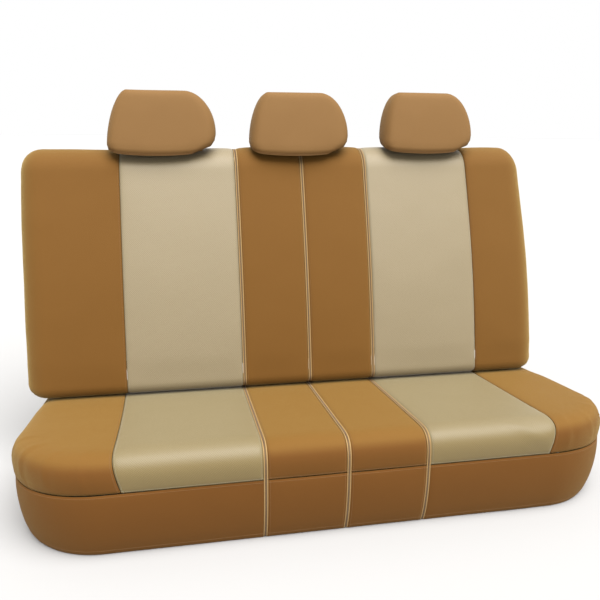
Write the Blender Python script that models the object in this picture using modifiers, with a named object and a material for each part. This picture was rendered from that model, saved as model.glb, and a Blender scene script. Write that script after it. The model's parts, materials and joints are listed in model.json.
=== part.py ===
"""Rear bench seat cover set: a bench cover, a backrest cover in three sections, three headrest covers.

Metres, +Z up, +X along the bench, +Y towards the rear of the seat. The covers keep the shape that
they take on a seat, which isn't part of the set, so each cover is a hollow shell of sewn panels.
The origin lies on the floor under the middle of the set's box. X is worked out from the middle zip,
because the outer panels are wider on the left, and an empty moves the whole set to the origin.
"""

from math import atan2, cos, hypot, pi, radians, sin, sqrt, tan

import bpy
from mathutils import Matrix, Vector

# Driving dimensions: where things are.
BIGHT = Vector((0, 0.044, 0.165))  # where the backrest's face would meet the top of the bench
LEAN = radians(16)  # the backrest leans back from upright
TOP_SLOPE = radians(6.8)  # the top of the bench climbs towards its front
ZIP_X = 0.166  # the side zips; the third zip is in the middle
INSERT_X = 0.450  # outer edge of the mesh inserts
MIDDLE_X = 0.0235  # the middle zip lies this far to the right of the origin

# Driving dimensions: bench cover.
BENCH_LEFT = 0.658  # width to the left of the middle zip
BENCH_RIGHT = 0.636
BENCH_FRONT = BIGHT.y - 0.377
BENCH_REAR = BIGHT.y + 0.110
BENCH_CORNER = 0.182  # plan radius of the front corners
BENCH_EDGE = 0.073  # radius that rolls the top over into the skirt
HEM_INSET = 0.013  # the hem pulls in under the bench

# Driving dimensions: backrest cover.
BACK_LEFT = 0.683  # width to the left of the middle zip
BACK_RIGHT = 0.627
BACK_THICK = 0.140  # its top is a half round of this thickness
BACK_TOP = 0.624  # height along the lean, from the bight line
BACK_CROWN = 0.012  # the face swells forward by this
BACK_EDGE = 0.050  # radius that rolls the face over into the side gusset
GUSSET_GAP = 0.007  # room round the gusset
FOOT_ROLL = 0.022  # radius at the foot of the face
FOOT_GAP = 0.005  # room between that roll and the top of the bench
TUCK = 0.080  # flap that runs back under the backrest cushion
TUCK_THICK = 0.002
HEM_OVER_BIGHT = 0.015  # the rear hem ends this far above the bight

# Driving dimensions: headrest covers.
HEAD_X = 0.346  # spacing of the three headrests
HEAD_HALF = 0.1285
HEAD_HIGH = 0.170  # face height, hem included
HEAD_FACE = -0.028  # how far the face stands in front of the backrest's face
HEAD_DEEP = 0.100
HEAD_CORNER = 0.075
HEAD_EDGE = 0.038
HEAD_FOOT = 0.576  # height of the hem's front edge along the lean
HEAD_CLIMB = 0.68  # the hem climbs to the rear by this slope, clear of the backrest's top
HEM_BAND = 0.012
HEM_BAND_GAP = 0.0055
HEM_REAR_CORNER = 0.012

# Driving dimensions: cloth, gaps and zips.
CLOTH = 0.005  # foam-backed fabric
SEAM = 0.0012  # room between two sewn panels
SKIRT_GAP = 0.003  # room between a panel and the skirt under it
GROOVE = 0.011  # opening that a zip lies in
ZIP_WIDE = 0.010
ZIP_DEEP = 0.003  # a zip lies this far below the fabric
ZIP_THICK = 0.002
ZIP_FOOT = 0.0005  # a bench zip ends this far above the hem

# Driving dimensions: zip sliders, straps and buckles.
SLIDER_WIDE = 0.0086
SLIDER_LONG = 0.014
SLIDER_UP = 0.0022  # above the fabric
SLIDER_DOWN = 0.0022  # below it
TAB_LONG = 0.028
TAB_WIDE = 0.006
TAB_THICK = 0.0016
TAB_LAP = 0.002  # the tab runs this far into the slider
SLIDER_ROUNDING = 0.0012
TAB_ROUNDING = 0.0004
SLIDER_FROM_HEM = 0.048
STRAP_X = 0.340
STRAP_WIDE = 0.025
STRAP_THICK = 0.0015
STRAP_Z = 0.006
BUCKLE_SOCKET = (0.034, 0.036, 0.010)
BUCKLE_PLUG = (0.034, 0.020, 0.009)
BUCKLE_ROUNDING = 0.0022
GRIP_HIGH = 0.020  # hook-and-loop strip
GRIP_THICK = 0.0015
GRIP_OVER_HEM = 0.004
GRIP_INSET = 0.010  # a strip ends this far inside its panel's edges
GRIP_GAP = 0.0005

UP = Vector((0, sin(LEAN), cos(LEAN)))  # along the leaning backrest
BACK = Vector((0, cos(LEAN), -sin(LEAN)))  # through the backrest, from its face to its rear
TOP_RISE = tan(TOP_SLOPE)


# Materials.


def material(name, colour, roughness, metallic=0.0):
    made = bpy.data.materials.new(name)
    made.use_nodes = True
    shader = made.node_tree.nodes["Principled BSDF"]
    shader.inputs["Base Color"].default_value = (*colour, 1)
    shader.inputs["Roughness"].default_value = roughness
    shader.inputs["Metallic"].default_value = metallic
    made.diffuse_color = (*colour, 1)
    return made


BROWN = (0.42, 0.25, 0.075)
BEIGE = (0.52, 0.42, 0.25)
TAN = (0.43, 0.27, 0.10)
CREAM = (0.62, 0.46, 0.24)
BRASS = (0.55, 0.42, 0.22)
DARK = (0.06, 0.045, 0.03)
CLOTH_ROUGHNESS = 0.85
TAPE_ROUGHNESS = 0.6
WEBBING_ROUGHNESS = 0.8
PLASTIC_ROUGHNESS = 0.45
METAL_ROUGHNESS = 0.35
GRIP_ROUGHNESS = 0.95
METALLIC = 0.9


# Building blocks.


def steps(first, last, count):
    """count + 1 evenly spaced values."""
    return [first + (last - first) * n / count for n in range(count + 1)]


def finish(thing, name, collection, colour, roughness, metallic=0.0, parent=None):
    """Name an object, give it a material of its own and put it in the set's collection."""
    thing.name = name
    thing.data.materials.clear()
    thing.data.materials.append(material(name, colour, roughness, metallic))
    for old in list(thing.users_collection):
        old.objects.unlink(thing)
    collection.objects.link(thing)
    hang(thing, parent)
    return thing


def hang(thing, parent):
    """Parent an object to a fold's pivot, or to the empty that places the whole set."""
    thing.parent = parent or PLACE
    if parent:
        thing.matrix_parent_inverse = Matrix.Translation(-parent.location)


def shell(name, rows, heart, thickness, colour, roughness=CLOTH_ROUGHNESS, parent=None):
    """A sewn panel: a grid placed on rows of points, thickened away from its outer side.

    heart is a point inside the cover, which tells the panel's inner side from its outer one.
    """
    down, across = len(rows) - 1, len(rows[0]) - 1
    bpy.ops.mesh.primitive_grid_add(x_subdivisions=across, y_subdivisions=down, size=1)
    panel = bpy.context.object
    mesh = panel.data
    for vertex in mesh.vertices:
        column = round((vertex.co.x + 0.5) * across)
        row = round((vertex.co.y + 0.5) * down)
        vertex.co = rows[row][column]
    mesh.update()
    outward = sum(face.normal.dot(face.center - heart) * face.area for face in mesh.polygons)
    if outward < 0:
        mesh.flip_normals()
    thicken = panel.modifiers.new("cloth", "SOLIDIFY")
    thicken.thickness = thickness
    thicken.offset = -1
    return finish(panel, name, COVER, colour, roughness, parent=parent)


def ribbon(name, path, low, high, heart, thickness, colour, roughness=CLOTH_ROUGHNESS, parent=None):
    """A panel that is straight from side to side: a path in the Y-Z plane, swept from X low to X high."""
    rows = [[Vector((x, y, z)) for x in (low, high)] for y, z in path]
    return shell(name, rows, heart, thickness, colour, roughness, parent)


def sunk(path, heart, depth):
    """The same path, moved towards the heart by depth at right angles to itself."""
    moved = []
    for n, (y, z) in enumerate(path):
        (y0, z0), (y1, z1) = path[max(n - 1, 0)], path[min(n + 1, len(path) - 1)]
        long = hypot(y1 - y0, z1 - z0)
        ny, nz = (z1 - z0) / long, (y0 - y1) / long
        side = 1 if ny * (heart.y - y) + nz * (heart.z - z) > 0 else -1
        moved.append((y + side * ny * depth, z + side * nz * depth))
    return moved


def edge_drop(inside, radius):
    """How far a round edge has fallen away at a point that lies inside the outline by that much."""
    short = radius - min(max(inside, 0), radius)
    return radius - sqrt(radius**2 - short**2)


def round_plan(x, y, half, deep, corner):
    """Bend a rectangle's two far corners round. y runs from the open side, 0, to the far side, deep.

    Gives the new place and how far it lies inside the outline.
    """
    a, b = (abs(x) - half + corner) / corner, (y - deep + corner) / corner
    if a <= 0 or b <= 0:
        return x, y, min(half - abs(x), deep - y)
    wide, far = a * sqrt(1 - b * b / 2), b * sqrt(1 - a * a / 2)
    side = 1 if x > 0 else -1
    inside = corner * (1 - hypot(wide, far))
    return side * (half - corner + corner * wide), deep - corner + corner * far, inside


def rolled(last, radius, straight, turns):
    """Places along a side that ends in a rolled edge: straight ones first, then by the roll's angle."""
    places = list(straight)
    places += [last - radius + radius * sin(pi / 2 * n / turns) for n in range(1, turns + 1)]
    return places


def block(name, size, place, colour, roughness, bevel, turn=None, metallic=0.0, parent=None):
    """A rounded block, its size along its own axes."""
    bpy.ops.mesh.primitive_cube_add(size=1)
    made = bpy.context.object
    made.data.transform(Matrix.Diagonal((*size, 1)))
    made.location = place
    if turn:
        made.rotation_euler = turn
    if bevel:
        soft = made.modifiers.new("edges", "BEVEL")
        soft.width = bevel
        soft.segments = 2
    return finish(made, name, COVER, colour, roughness, metallic, parent)


# Bench cover.

BENCH_HEART = Vector((0, BIGHT.y - 0.13, 0.06))
BENCH_DEEP = BENCH_REAR - BENCH_FRONT


def top_height(y):
    """The flat part of the bench top, rising to the front."""
    return BIGHT.z + TOP_RISE * (BIGHT.y - y)


def bench_half(x):
    return BENCH_RIGHT if x > 0 else BENCH_LEFT


def bench_top_point(x, from_rear):
    x, deep, inside = round_plan(x, from_rear, bench_half(x), BENCH_DEEP, BENCH_CORNER)
    y = BENCH_REAR - deep
    return Vector((x, y, top_height(y) - edge_drop(inside, BENCH_EDGE)))


def bench_outline(half):
    """One side of the seam's plan, from the side zip to the rear, with its outward side."""
    corner = Vector((half - BENCH_CORNER, BENCH_FRONT + BENCH_CORNER))
    points = [(Vector((x, BENCH_FRONT)), Vector((0, -1))) for x in (ZIP_X + GROOVE / 2, INSERT_X)]
    for angle in steps(0, pi / 2, 10):
        out = Vector((sin(angle), -cos(angle)))
        points.append((corner + out * BENCH_CORNER, out))
    points.append((Vector((half, BENCH_REAR)), Vector((1, 0))))
    return points


def skirt_rows(outline, mirror=1):
    """A skirt's rows of points, from the seam under the rolled edge down to the floor."""
    rows = []
    for down in steps(0, 1, 2):
        row = []
        for place, out in outline:
            seam = top_height(place.y) - BENCH_EDGE - SKIRT_GAP
            at = place - out * HEM_INSET * down
            row.append(Vector((mirror * at.x, at.y, seam * (1 - down))))
        rows.append(row)
    return rows


def bench_section():
    """The bench cover in the Y-Z plane: rear edge, top, rolled edge."""
    places = rolled(BENCH_DEEP, BENCH_EDGE, steps(0, BENCH_DEEP - BENCH_EDGE, 3), 8)
    return [tuple(bench_top_point(0, deep).yz) for deep in places]


def bench_cover():
    top = bench_section()
    seam_y, seam_z = top[-1]
    half_groove = GROOVE / 2
    across = {
        "bench_left_insert": (-INSERT_X, -ZIP_X - half_groove, BEIGE),
        "bench_left_middle_panel": (-ZIP_X + half_groove, -half_groove, BROWN),
        "bench_right_middle_panel": (half_groove, ZIP_X - half_groove, BROWN),
        "bench_right_insert": (ZIP_X + half_groove, INSERT_X, BEIGE),
    }
    for name, (low, high, colour) in across.items():
        ribbon(name, top, low, high, BENCH_HEART, CLOTH, colour)

    # The outer panels roll down round the corners of the seat.
    deeps = rolled(BENCH_DEEP, BENCH_EDGE, steps(0, BENCH_DEEP - BENCH_CORNER, 2)
                   + steps(BENCH_DEEP - BENCH_CORNER, BENCH_DEEP - BENCH_EDGE, 4)[1:], 7)
    for side, mirror in (("left", -1), ("right", 1)):
        half = bench_half(mirror)
        flat = [INSERT_X + SEAM] + steps(half - BENCH_CORNER, half - BENCH_EDGE, 4)
        wides = rolled(half, BENCH_EDGE, flat, 7)
        rows = [[bench_top_point(mirror * wide, deep) for wide in wides] for deep in deeps]
        shell(f"bench_{side}_outer_panel", rows, BENCH_HEART, CLOTH, BROWN)
        shell(f"bench_{side}_skirt", skirt_rows(bench_outline(half), mirror), BENCH_HEART, CLOTH, BROWN)
        front = [(Vector((x, BENCH_FRONT)), Vector((0, -1))) for x in (half_groove, ZIP_X - half_groove)]
        shell(f"bench_{side}_middle_skirt", skirt_rows(front, mirror), BENCH_HEART, CLOTH, BROWN)

    # Each zip runs over the top and down the skirt to the hem.
    whole = top + [(seam_y + HEM_INSET * down, seam_z * (1 - down)) for down in steps(0, 1, 2)[1:]]
    lane = sunk(whole, BENCH_HEART, ZIP_DEEP)
    lane[-1] = (lane[-1][0], ZIP_FOOT)
    for side, x in (("left", -ZIP_X), ("middle", 0), ("right", ZIP_X)):
        edges = x - ZIP_WIDE / 2, x + ZIP_WIDE / 2
        ribbon(f"bench_{side}_zip", lane, *edges, BENCH_HEART, ZIP_THICK, CREAM, TAPE_ROUGHNESS)

    bench_rear_panel()
    for side, x in (("left", -STRAP_X), ("right", STRAP_X)):
        bench_strap(side, x)


def bench_rear_panel():
    """Closes the rear of the bench cover, inside the rolled edge of its top."""
    inner = BENCH_EDGE - CLOTH - SEAM
    top = top_height(BENCH_REAR) - BENCH_EDGE
    upper, lower = [], []
    turn = steps(0, pi / 2, 7)
    for mirror, half, angles in ((-1, BENCH_LEFT, turn[::-1]), (1, BENCH_RIGHT, turn)):
        bend = half - BENCH_EDGE
        narrow = (half - HEM_INSET - CLOTH - SEAM) / (bend + inner)
        for angle in angles:
            x = mirror * (bend + inner * sin(angle))
            upper.append(Vector((x, BENCH_REAR, top + inner * cos(angle))))
            lower.append(Vector((x * narrow, BENCH_REAR, 0)))
    shell("bench_rear_panel", [upper, lower], BENCH_HEART, CLOTH, BROWN)


def bench_strap(side, x):
    """An elastic strap under the bench, in two lengths that meet at a side-release buckle."""
    front = BENCH_FRONT + HEM_INSET + CLOTH + SEAM
    rear = BENCH_REAR - CLOTH - SEAM
    middle = (front + rear) / 2
    socket_front = middle - BUCKLE_SOCKET[1]
    plug_rear = middle + SEAM + BUCKLE_PLUG[1]
    bands = {"front": (front, socket_front - SEAM), "rear": (plug_rear + SEAM, rear)}
    for end, (start, stop) in bands.items():
        size = (STRAP_WIDE, stop - start, STRAP_THICK)
        block(f"bench_{side}_strap_{end}", size, (x, (start + stop) / 2, STRAP_Z), DARK,
              WEBBING_ROUGHNESS, 0)
    socket_y = middle - BUCKLE_SOCKET[1] / 2
    block(f"bench_{side}_buckle_socket", BUCKLE_SOCKET, (x, socket_y, STRAP_Z), DARK,
          PLASTIC_ROUGHNESS, BUCKLE_ROUNDING)
    plug_y = middle + SEAM + BUCKLE_PLUG[1] / 2
    block(f"bench_{side}_buckle_plug", BUCKLE_PLUG, (x, plug_y, STRAP_Z), DARK,
          PLASTIC_ROUGHNESS, BUCKLE_ROUNDING)


# Backrest cover. Its section is drawn in (through, up): through runs from its face to its rear.

ROUND = BACK_THICK / 2
SHOULDER = BACK_TOP - ROUND  # where the half-round top starts


def foot_centre():
    """The middle of the roll at the foot of the face, FOOT_GAP above the bench top. It is the fold's axis."""
    base = BIGHT + BACK * FOOT_ROLL
    lift = (top_height(base.y) + FOOT_ROLL + FOOT_GAP - base.z) / (UP.z + TOP_RISE * UP.y)
    return base + UP * lift


FOOT = foot_centre()
FOOT_UP = (FOOT - BIGHT).dot(UP)
DOWN = LEAN - pi / 2  # straight down, as an angle from the through axis
BACK_HEM = (HEM_OVER_BIGHT + BACK_THICK * sin(LEAN)) / cos(LEAN)


def on_back(x, through, up):
    return BIGHT + Vector((x, 0, 0)) + BACK * through + UP * up


def face_section():
    """Foot roll, face and half-round top, to the top of the rear panel."""
    path = []
    for angle in steps(DOWN, -pi, 5):
        path.append((FOOT_ROLL * (1 + cos(angle)), FOOT_UP + FOOT_ROLL * sin(angle)))
    for part in steps(0, 1, 7)[1:]:
        path.append((-BACK_CROWN * sin(pi * part), FOOT_UP + (SHOULDER - FOOT_UP) * part))
    for angle in steps(pi, 0, 10)[1:]:
        path.append((ROUND * (1 + cos(angle)), SHOULDER + ROUND * sin(angle)))
    return path


def rear_section():
    return [(BACK_THICK, SHOULDER - SEAM), (BACK_THICK, BACK_HEM)]


def tuck_flap(name, low, high, pivot):
    """The level flap that runs back from the foot roll, between the backrest and the bench."""
    path = []
    for back in (SEAM, TUCK):
        through = FOOT_ROLL * (1 + cos(DOWN)) + back * cos(LEAN)
        path.append((through, FOOT_UP + FOOT_ROLL * sin(DOWN) + back * sin(LEAN)))
    ribbon(name, as_yz(path), low, high, back_heart((low + high) / 2), TUCK_THICK, DARK, parent=pivot)


def pulled_in(through, up, amount):
    """Move a point of the section towards the backrest's spine, as the sides do where they roll over."""
    spine = (ROUND, min(max(up, FOOT_UP + ROUND / 2), SHOULDER))
    away = hypot(spine[0] - through, spine[1] - up)
    return through + (spine[0] - through) * amount / away, up + (spine[1] - up) * amount / away


def as_yz(section):
    return [tuple(on_back(0, through, up).yz) for through, up in section]


def back_heart(x):
    return on_back(x, ROUND, SHOULDER / 2)


def back_side(side, mirror, pivot):
    """An outer section: mesh insert, outer panel, side gusset, rear panel and hook-and-loop strip."""
    start = ZIP_X + GROOVE / 2 + SEAM
    half = BACK_RIGHT if mirror > 0 else BACK_LEFT
    heart = back_heart(mirror * INSERT_X)
    insert = sorted((mirror * start, mirror * INSERT_X))
    ribbon(f"back_{side}_insert", as_yz(face_section()), *insert, heart, CLOTH, BEIGE, parent=pivot)

    wides = rolled(half, BACK_EDGE, [INSERT_X + SEAM, half - BACK_EDGE], 6)
    rows = side_rows(face_section(), wides, mirror)
    shell(f"back_{side}_outer_panel", rows, heart, CLOTH, BROWN, parent=pivot)
    wides = rolled(half, BACK_EDGE, [start, half - BACK_EDGE], 6)
    rear = [(BACK_THICK, up) for up in steps(SHOULDER - SEAM, BACK_HEM, 3)]
    shell(f"back_{side}_rear_panel", side_rows(rear, wides, mirror), heart, CLOTH, BROWN, parent=pivot)
    side_gusset(side, mirror * (half - CLOTH / 2), pivot)
    stop = half - BACK_EDGE
    grip_strip(f"back_{side}_grip_strip", *sorted((mirror * start, mirror * stop)), pivot)
    tuck_flap(f"back_{side}_tuck_flap", *sorted((mirror * start, mirror * stop)), pivot)


def side_rows(section, wides, mirror):
    """A section drawn along the backrest and pulled in where its side rolls over, up to the last of wides."""
    rows = []
    for through, up in section:
        row = []
        for wide in wides:
            drop = edge_drop(wides[-1] - wide, BACK_EDGE)
            row.append(on_back(mirror * wide, *pulled_in(through, up, drop)))
        rows.append(row)
    return rows


def side_gusset(side, x, pivot):
    """The flat end of the backrest cover, inside the rolled edges."""
    inset = BACK_EDGE + GUSSET_GAP
    rear = [(BACK_THICK, up) for up in steps(SHOULDER, BACK_HEM, 3)]
    outline = [pulled_in(through, up, inset) for through, up in face_section() + rear[1:]]
    curve = bpy.data.curves.new(f"back_{side}_gusset", "CURVE")
    curve.dimensions = "2D"
    curve.fill_mode = "BOTH"
    curve.extrude = CLOTH / 2
    spline = curve.splines.new("POLY")
    spline.points.add(len(outline) - 1)
    for point, (through, up) in zip(spline.points, outline):
        point.co = (through, up, 0, 1)
    spline.use_cyclic_u = True
    gusset = bpy.data.objects.new(curve.name, curve)
    bpy.context.scene.collection.objects.link(gusset)
    stand = Matrix((BACK, UP, Vector((1, 0, 0)))).transposed().to_4x4()
    gusset.matrix_world = Matrix.Translation(on_back(x, 0, 0)) @ stand
    finish(gusset, f"back_{side}_gusset", COVER, BROWN, CLOTH_ROUGHNESS, parent=pivot)


def grip_strip(name, low, high, pivot):
    """A hook-and-loop strip inside the rear hem of a panel that runs from X low to X high."""
    inside = BACK_THICK - CLOTH - GRIP_GAP
    low_edge = BACK_HEM + GRIP_OVER_HEM
    path = as_yz([(inside, low_edge + GRIP_HIGH), (inside, low_edge)])
    heart = back_heart((low + high) / 2)
    ribbon(name, path, low + GRIP_INSET, high - GRIP_INSET, heart, GRIP_THICK, DARK, GRIP_ROUGHNESS, pivot)


def back_centre(pivot):
    """The middle section, with the three zips of the backrest."""
    half_groove = GROOVE / 2
    face, rear = as_yz(face_section()), as_yz(rear_section())
    heart = back_heart(0)
    for side, mirror in (("left", -1), ("right", 1)):
        low, high = sorted((mirror * half_groove, mirror * (ZIP_X - half_groove)))
        ribbon(f"back_{side}_middle_panel", face, low, high, heart, CLOTH, BROWN, parent=pivot)
        ribbon(f"back_{side}_middle_rear_panel", rear, low, high, heart, CLOTH, BROWN, parent=pivot)
        grip_strip(f"back_{side}_middle_grip_strip", low, high, pivot)
    edge = ZIP_X + half_groove - SEAM
    tuck_flap("back_middle_tuck_flap", -edge, edge, pivot)
    lane = sunk(face + rear[1:], heart, ZIP_DEEP)
    for side, x in (("left", -ZIP_X), ("middle", 0), ("right", ZIP_X)):
        edges = x - ZIP_WIDE / 2, x + ZIP_WIDE / 2
        ribbon(f"back_{side}_zip", lane, *edges, heart, ZIP_THICK, CREAM, TAPE_ROUGHNESS, pivot)


# Headrest covers. Each is drawn flat, looking at its face, and stood up by head_point.


def head_floor(through):
    """Height of the hem above its front edge: it climbs over the backrest's top."""
    return HEAD_CLIMB * (through - HEAD_FACE)


def head_point(x, across, high, through):
    """through is measured from the backrest's face; high from the hem, squeezed where the hem climbs."""
    foot = head_floor(through)
    up = HEAD_FOOT + foot + high * (HEAD_HIGH - foot) / HEAD_HIGH
    return on_back(x + across, through, up)


def head_front(p, q):
    """The face, rolled over into the sides and the top. Past 1, p and q run back along the walls."""
    most = max(abs(p), q, 1)
    across, high = p / most * HEAD_HALF, q / most * HEAD_HIGH
    across, high, inside = round_plan(across, high, HEAD_HALF, HEAD_HIGH, HEAD_CORNER)
    through = HEAD_FACE + edge_drop(inside, HEAD_EDGE) + (most - 1)
    return across, high, through


def head_cover(name, x, pivot):
    wall = HEAD_DEEP - HEAD_EDGE
    heart = on_back(x, HEAD_FACE + HEAD_DEEP / 2, HEAD_FOOT + HEAD_HIGH * 0.4)
    over = HEAD_HALF - HEAD_EDGE
    right = [0, over / HEAD_HALF * 0.6] + [w / HEAD_HALF for w in rolled(HEAD_HALF, HEAD_EDGE, [over], 5)]
    right += [1 + wall * n / 2 for n in (1, 2)]
    ps = [-p for p in reversed(right[1:])] + right
    low = HEM_BAND + HEM_BAND_GAP
    highs = [low, HEAD_HIGH - HEAD_CORNER] + rolled(HEAD_HIGH, HEAD_EDGE, [HEAD_HIGH - HEAD_EDGE], 5)
    qs = [h / HEAD_HIGH for h in highs] + [1 + wall * n / 2 for n in (1, 2)]
    rows = [[head_point(x, *head_front(p, q)) for p in ps] for q in qs]
    shell(f"{name}_front_panel", rows, heart, CLOTH, TAN, parent=pivot)

    rear = HEAD_FACE + HEAD_DEEP + SEAM + CLOTH
    rows = []
    for q in [h / HEAD_HIGH for h in highs]:
        row = []
        for p in [p for p in ps if abs(p) <= 1]:
            across, high = round_plan(p * HEAD_HALF, q * HEAD_HIGH, HEAD_HALF, HEAD_HIGH, HEAD_CORNER)[:2]
            row.append(head_point(x, across, high, rear))
        rows.append(row)
    shell(f"{name}_rear_panel", rows, heart, CLOTH, TAN, parent=pivot)
    head_hem(f"{name}_hem_band", x, rear, heart, pivot)


def head_hem(name, x, rear, heart, pivot):
    """The elastic band round the mouth of a headrest cover."""
    ring = []
    for number, (side, middle, radius) in enumerate((
            (1, rear - HEM_REAR_CORNER, HEM_REAR_CORNER), (-1, rear - HEM_REAR_CORNER, HEM_REAR_CORNER),
            (-1, HEAD_FACE + HEAD_EDGE, HEAD_EDGE), (1, HEAD_FACE + HEAD_EDGE, HEAD_EDGE))):
        for angle in steps(number * pi / 2, (number + 1) * pi / 2, 6):
            ring.append((side * (HEAD_HALF - radius) + radius * cos(angle), middle + radius * sin(angle)))
    bpy.ops.mesh.primitive_cylinder_add(vertices=len(ring), radius=1, depth=1, end_fill_type="NOTHING")
    band = bpy.context.object
    mesh = band.data
    for vertex in mesh.vertices:
        turn = atan2(vertex.co.y, vertex.co.x) % (2 * pi)
        across, through = ring[round(turn / (2 * pi) * len(ring)) % len(ring)]
        high = 0 if vertex.co.z < 0 else HEM_BAND
        vertex.co = head_point(x, across, high, through)
    mesh.update()
    if sum(face.normal.dot(face.center - heart) * face.area for face in mesh.polygons) < 0:
        mesh.flip_normals()
    thicken = band.modifiers.new("band", "SOLIDIFY")
    thicken.thickness = CLOTH
    thicken.offset = -1
    finish(band, name, COVER, TAN, CLOTH_ROUGHNESS, parent=pivot)


# Zip sliders. Each has its tab fused to it, lying in the groove.


def slider(name, place, along, out, pivot):
    """along is the way that closes the zip, out the way out of the fabric; the tab trails behind."""
    across = along.cross(out)
    frame = Matrix((across, along, out)).transposed().to_4x4()
    tall = SLIDER_UP + SLIDER_DOWN
    bpy.ops.mesh.primitive_cube_add(size=1)
    body = bpy.context.object
    body.data.transform(Matrix.Diagonal((SLIDER_WIDE, SLIDER_LONG, tall, 1)))
    body.data.transform(Matrix.Translation((0, 0, (SLIDER_UP - SLIDER_DOWN) / 2)))
    body.matrix_world = Matrix.Translation(place) @ frame
    edges = body.modifiers.new("edges", "BEVEL")
    edges.width = SLIDER_ROUNDING
    edges.segments = 2

    bpy.ops.mesh.primitive_cube_add(size=1)
    tab = bpy.context.object
    tab.data.transform(Matrix.Diagonal((TAB_WIDE, TAB_LONG, TAB_THICK, 1)))
    behind = TAB_LONG / 2 + SLIDER_LONG / 2 - TAB_LAP
    tab.data.transform(Matrix.Translation((0, -behind, SLIDER_UP - TAB_THICK)))
    tab.matrix_world = body.matrix_world
    rounding = tab.modifiers.new("edges", "BEVEL")
    rounding.width = TAB_ROUNDING
    rounding.segments = 2
    tab.name = name + "_tab_guide"
    tab.hide_render = True
    tab.display_type = "WIRE"
    for old in list(tab.users_collection):
        old.objects.unlink(tab)
    GUIDES.objects.link(tab)
    hang(tab, pivot)

    joined = body.modifiers.new("tab", "BOOLEAN")
    joined.operation = "UNION"
    joined.object = tab
    finish(body, name, COVER, BRASS, METAL_ROUGHNESS, METALLIC, pivot)


def sliders(centre):
    forward = Vector((0, -cos(TOP_SLOPE), sin(TOP_SLOPE)))
    out = Vector((0, sin(TOP_SLOPE), cos(TOP_SLOPE)))
    rear = BENCH_REAR - SLIDER_FROM_HEM
    for side, x in (("left", -ZIP_X), ("middle", 0), ("right", ZIP_X)):
        slider(f"bench_{side}_zip_slider", Vector((x, rear, top_height(rear))), forward, out, None)
        low = on_back(x, BACK_THICK, BACK_HEM + SLIDER_FROM_HEM)
        slider(f"back_{side}_zip_slider", low, UP, BACK, centre)


def empty_at(name, place, parent=None):
    made = bpy.data.objects.new(name, None)
    made.location = place
    made.parent = parent
    COVER.objects.link(made)
    return made


for thing in list(bpy.data.objects):
    bpy.data.objects.remove(thing, do_unlink=True)
COVER = bpy.data.collections.new("seat_cover_set")
GUIDES = bpy.data.collections.new("guides")
for collection in (COVER, GUIDES):
    bpy.context.scene.collection.children.link(collection)

PLACE = empty_at("set_place", Vector((MIDDLE_X, 0, 0)))
bench_cover()
folds = {}
for section, at in (("left", -HEAD_X), ("centre", 0), ("right", HEAD_X)):
    folds[section] = empty_at(f"back_{section}_fold", FOOT + Vector((at, 0, 0)), PLACE)
back_side("left", -1, folds["left"])
back_side("right", 1, folds["right"])
back_centre(folds["centre"])
bpy.context.view_layer.update()
for section, at in (("left", -HEAD_X), ("middle", 0), ("right", HEAD_X)):
    head_cover(f"{section}_headrest", at, folds["centre" if section == "middle" else section])
sliders(folds["centre"])
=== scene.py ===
"""Looks of the rear bench seat cover set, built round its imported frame.

Each sewn panel is a sheet of foam-backed cloth: a grid laid on the cover's form, which swells between
its seams, tucks into them and puckers beside them. X is measured from the middle zip, through and up
from the backrest's own face. All sizes are in metres.
"""

import json
from math import atan, cos, exp, hypot, pi, radians, sin, sqrt

import bmesh
import bpy
import numpy as np
from mathutils import Matrix, Vector, noise


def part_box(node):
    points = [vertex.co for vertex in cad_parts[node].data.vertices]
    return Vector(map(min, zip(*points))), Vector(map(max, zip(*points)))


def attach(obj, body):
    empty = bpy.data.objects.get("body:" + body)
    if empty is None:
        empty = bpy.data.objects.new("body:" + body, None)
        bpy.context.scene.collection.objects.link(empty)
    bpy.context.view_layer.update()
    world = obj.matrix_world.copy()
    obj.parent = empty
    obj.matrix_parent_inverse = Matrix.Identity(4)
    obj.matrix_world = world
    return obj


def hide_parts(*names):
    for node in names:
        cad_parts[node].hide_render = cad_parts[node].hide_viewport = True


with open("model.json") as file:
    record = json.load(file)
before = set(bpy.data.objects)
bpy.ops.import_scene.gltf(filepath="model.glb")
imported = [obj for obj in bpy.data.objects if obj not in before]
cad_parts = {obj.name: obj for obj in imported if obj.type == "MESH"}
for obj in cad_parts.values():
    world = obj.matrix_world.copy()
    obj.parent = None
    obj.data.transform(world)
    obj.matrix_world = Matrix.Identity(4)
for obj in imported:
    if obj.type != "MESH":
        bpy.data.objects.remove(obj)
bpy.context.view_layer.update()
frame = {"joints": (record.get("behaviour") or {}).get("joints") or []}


def joint(name):
    return next(j for j in frame["joints"] if j["name"] == name)


def low(node):
    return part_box(node)[0]


def high(node):
    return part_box(node)[1]


# Places read from the frame.
UP = Vector(joint("middle_headrest_slide")["axis"])  # along the leaning backrest
BACK = Vector((0, UP.z, -UP.y))  # through it, from its face to its rear
FOLD = Vector(joint("back_centre_fold")["pos_m"])  # middle of the roll at the foot of its face
MIDDLE_X = FOLD.x
ZIP_HALF = (high("bench_middle_zip").x - low("bench_middle_zip").x) / 2
ZIP_X = high("bench_right_zip").x - MIDDLE_X - ZIP_HALF
HEAD_X = FOLD.x - joint("back_left_fold")["pos_m"][0]
INSERT_X = high("bench_right_insert").x - MIDDLE_X
BENCH_LEFT = MIDDLE_X - low("bench_left_outer_panel").x
BENCH_RIGHT = high("bench_right_outer_panel").x - MIDDLE_X
BENCH_FRONT = low("bench_left_outer_panel").y
BENCH_REAR = high("bench_rear_panel").y
BACK_LEFT = MIDDLE_X - low("back_left_outer_panel").x
BACK_RIGHT = high("back_right_outer_panel").x - MIDDLE_X
BENCH_ZIP = joint("bench_middle_zip_slide")
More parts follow.
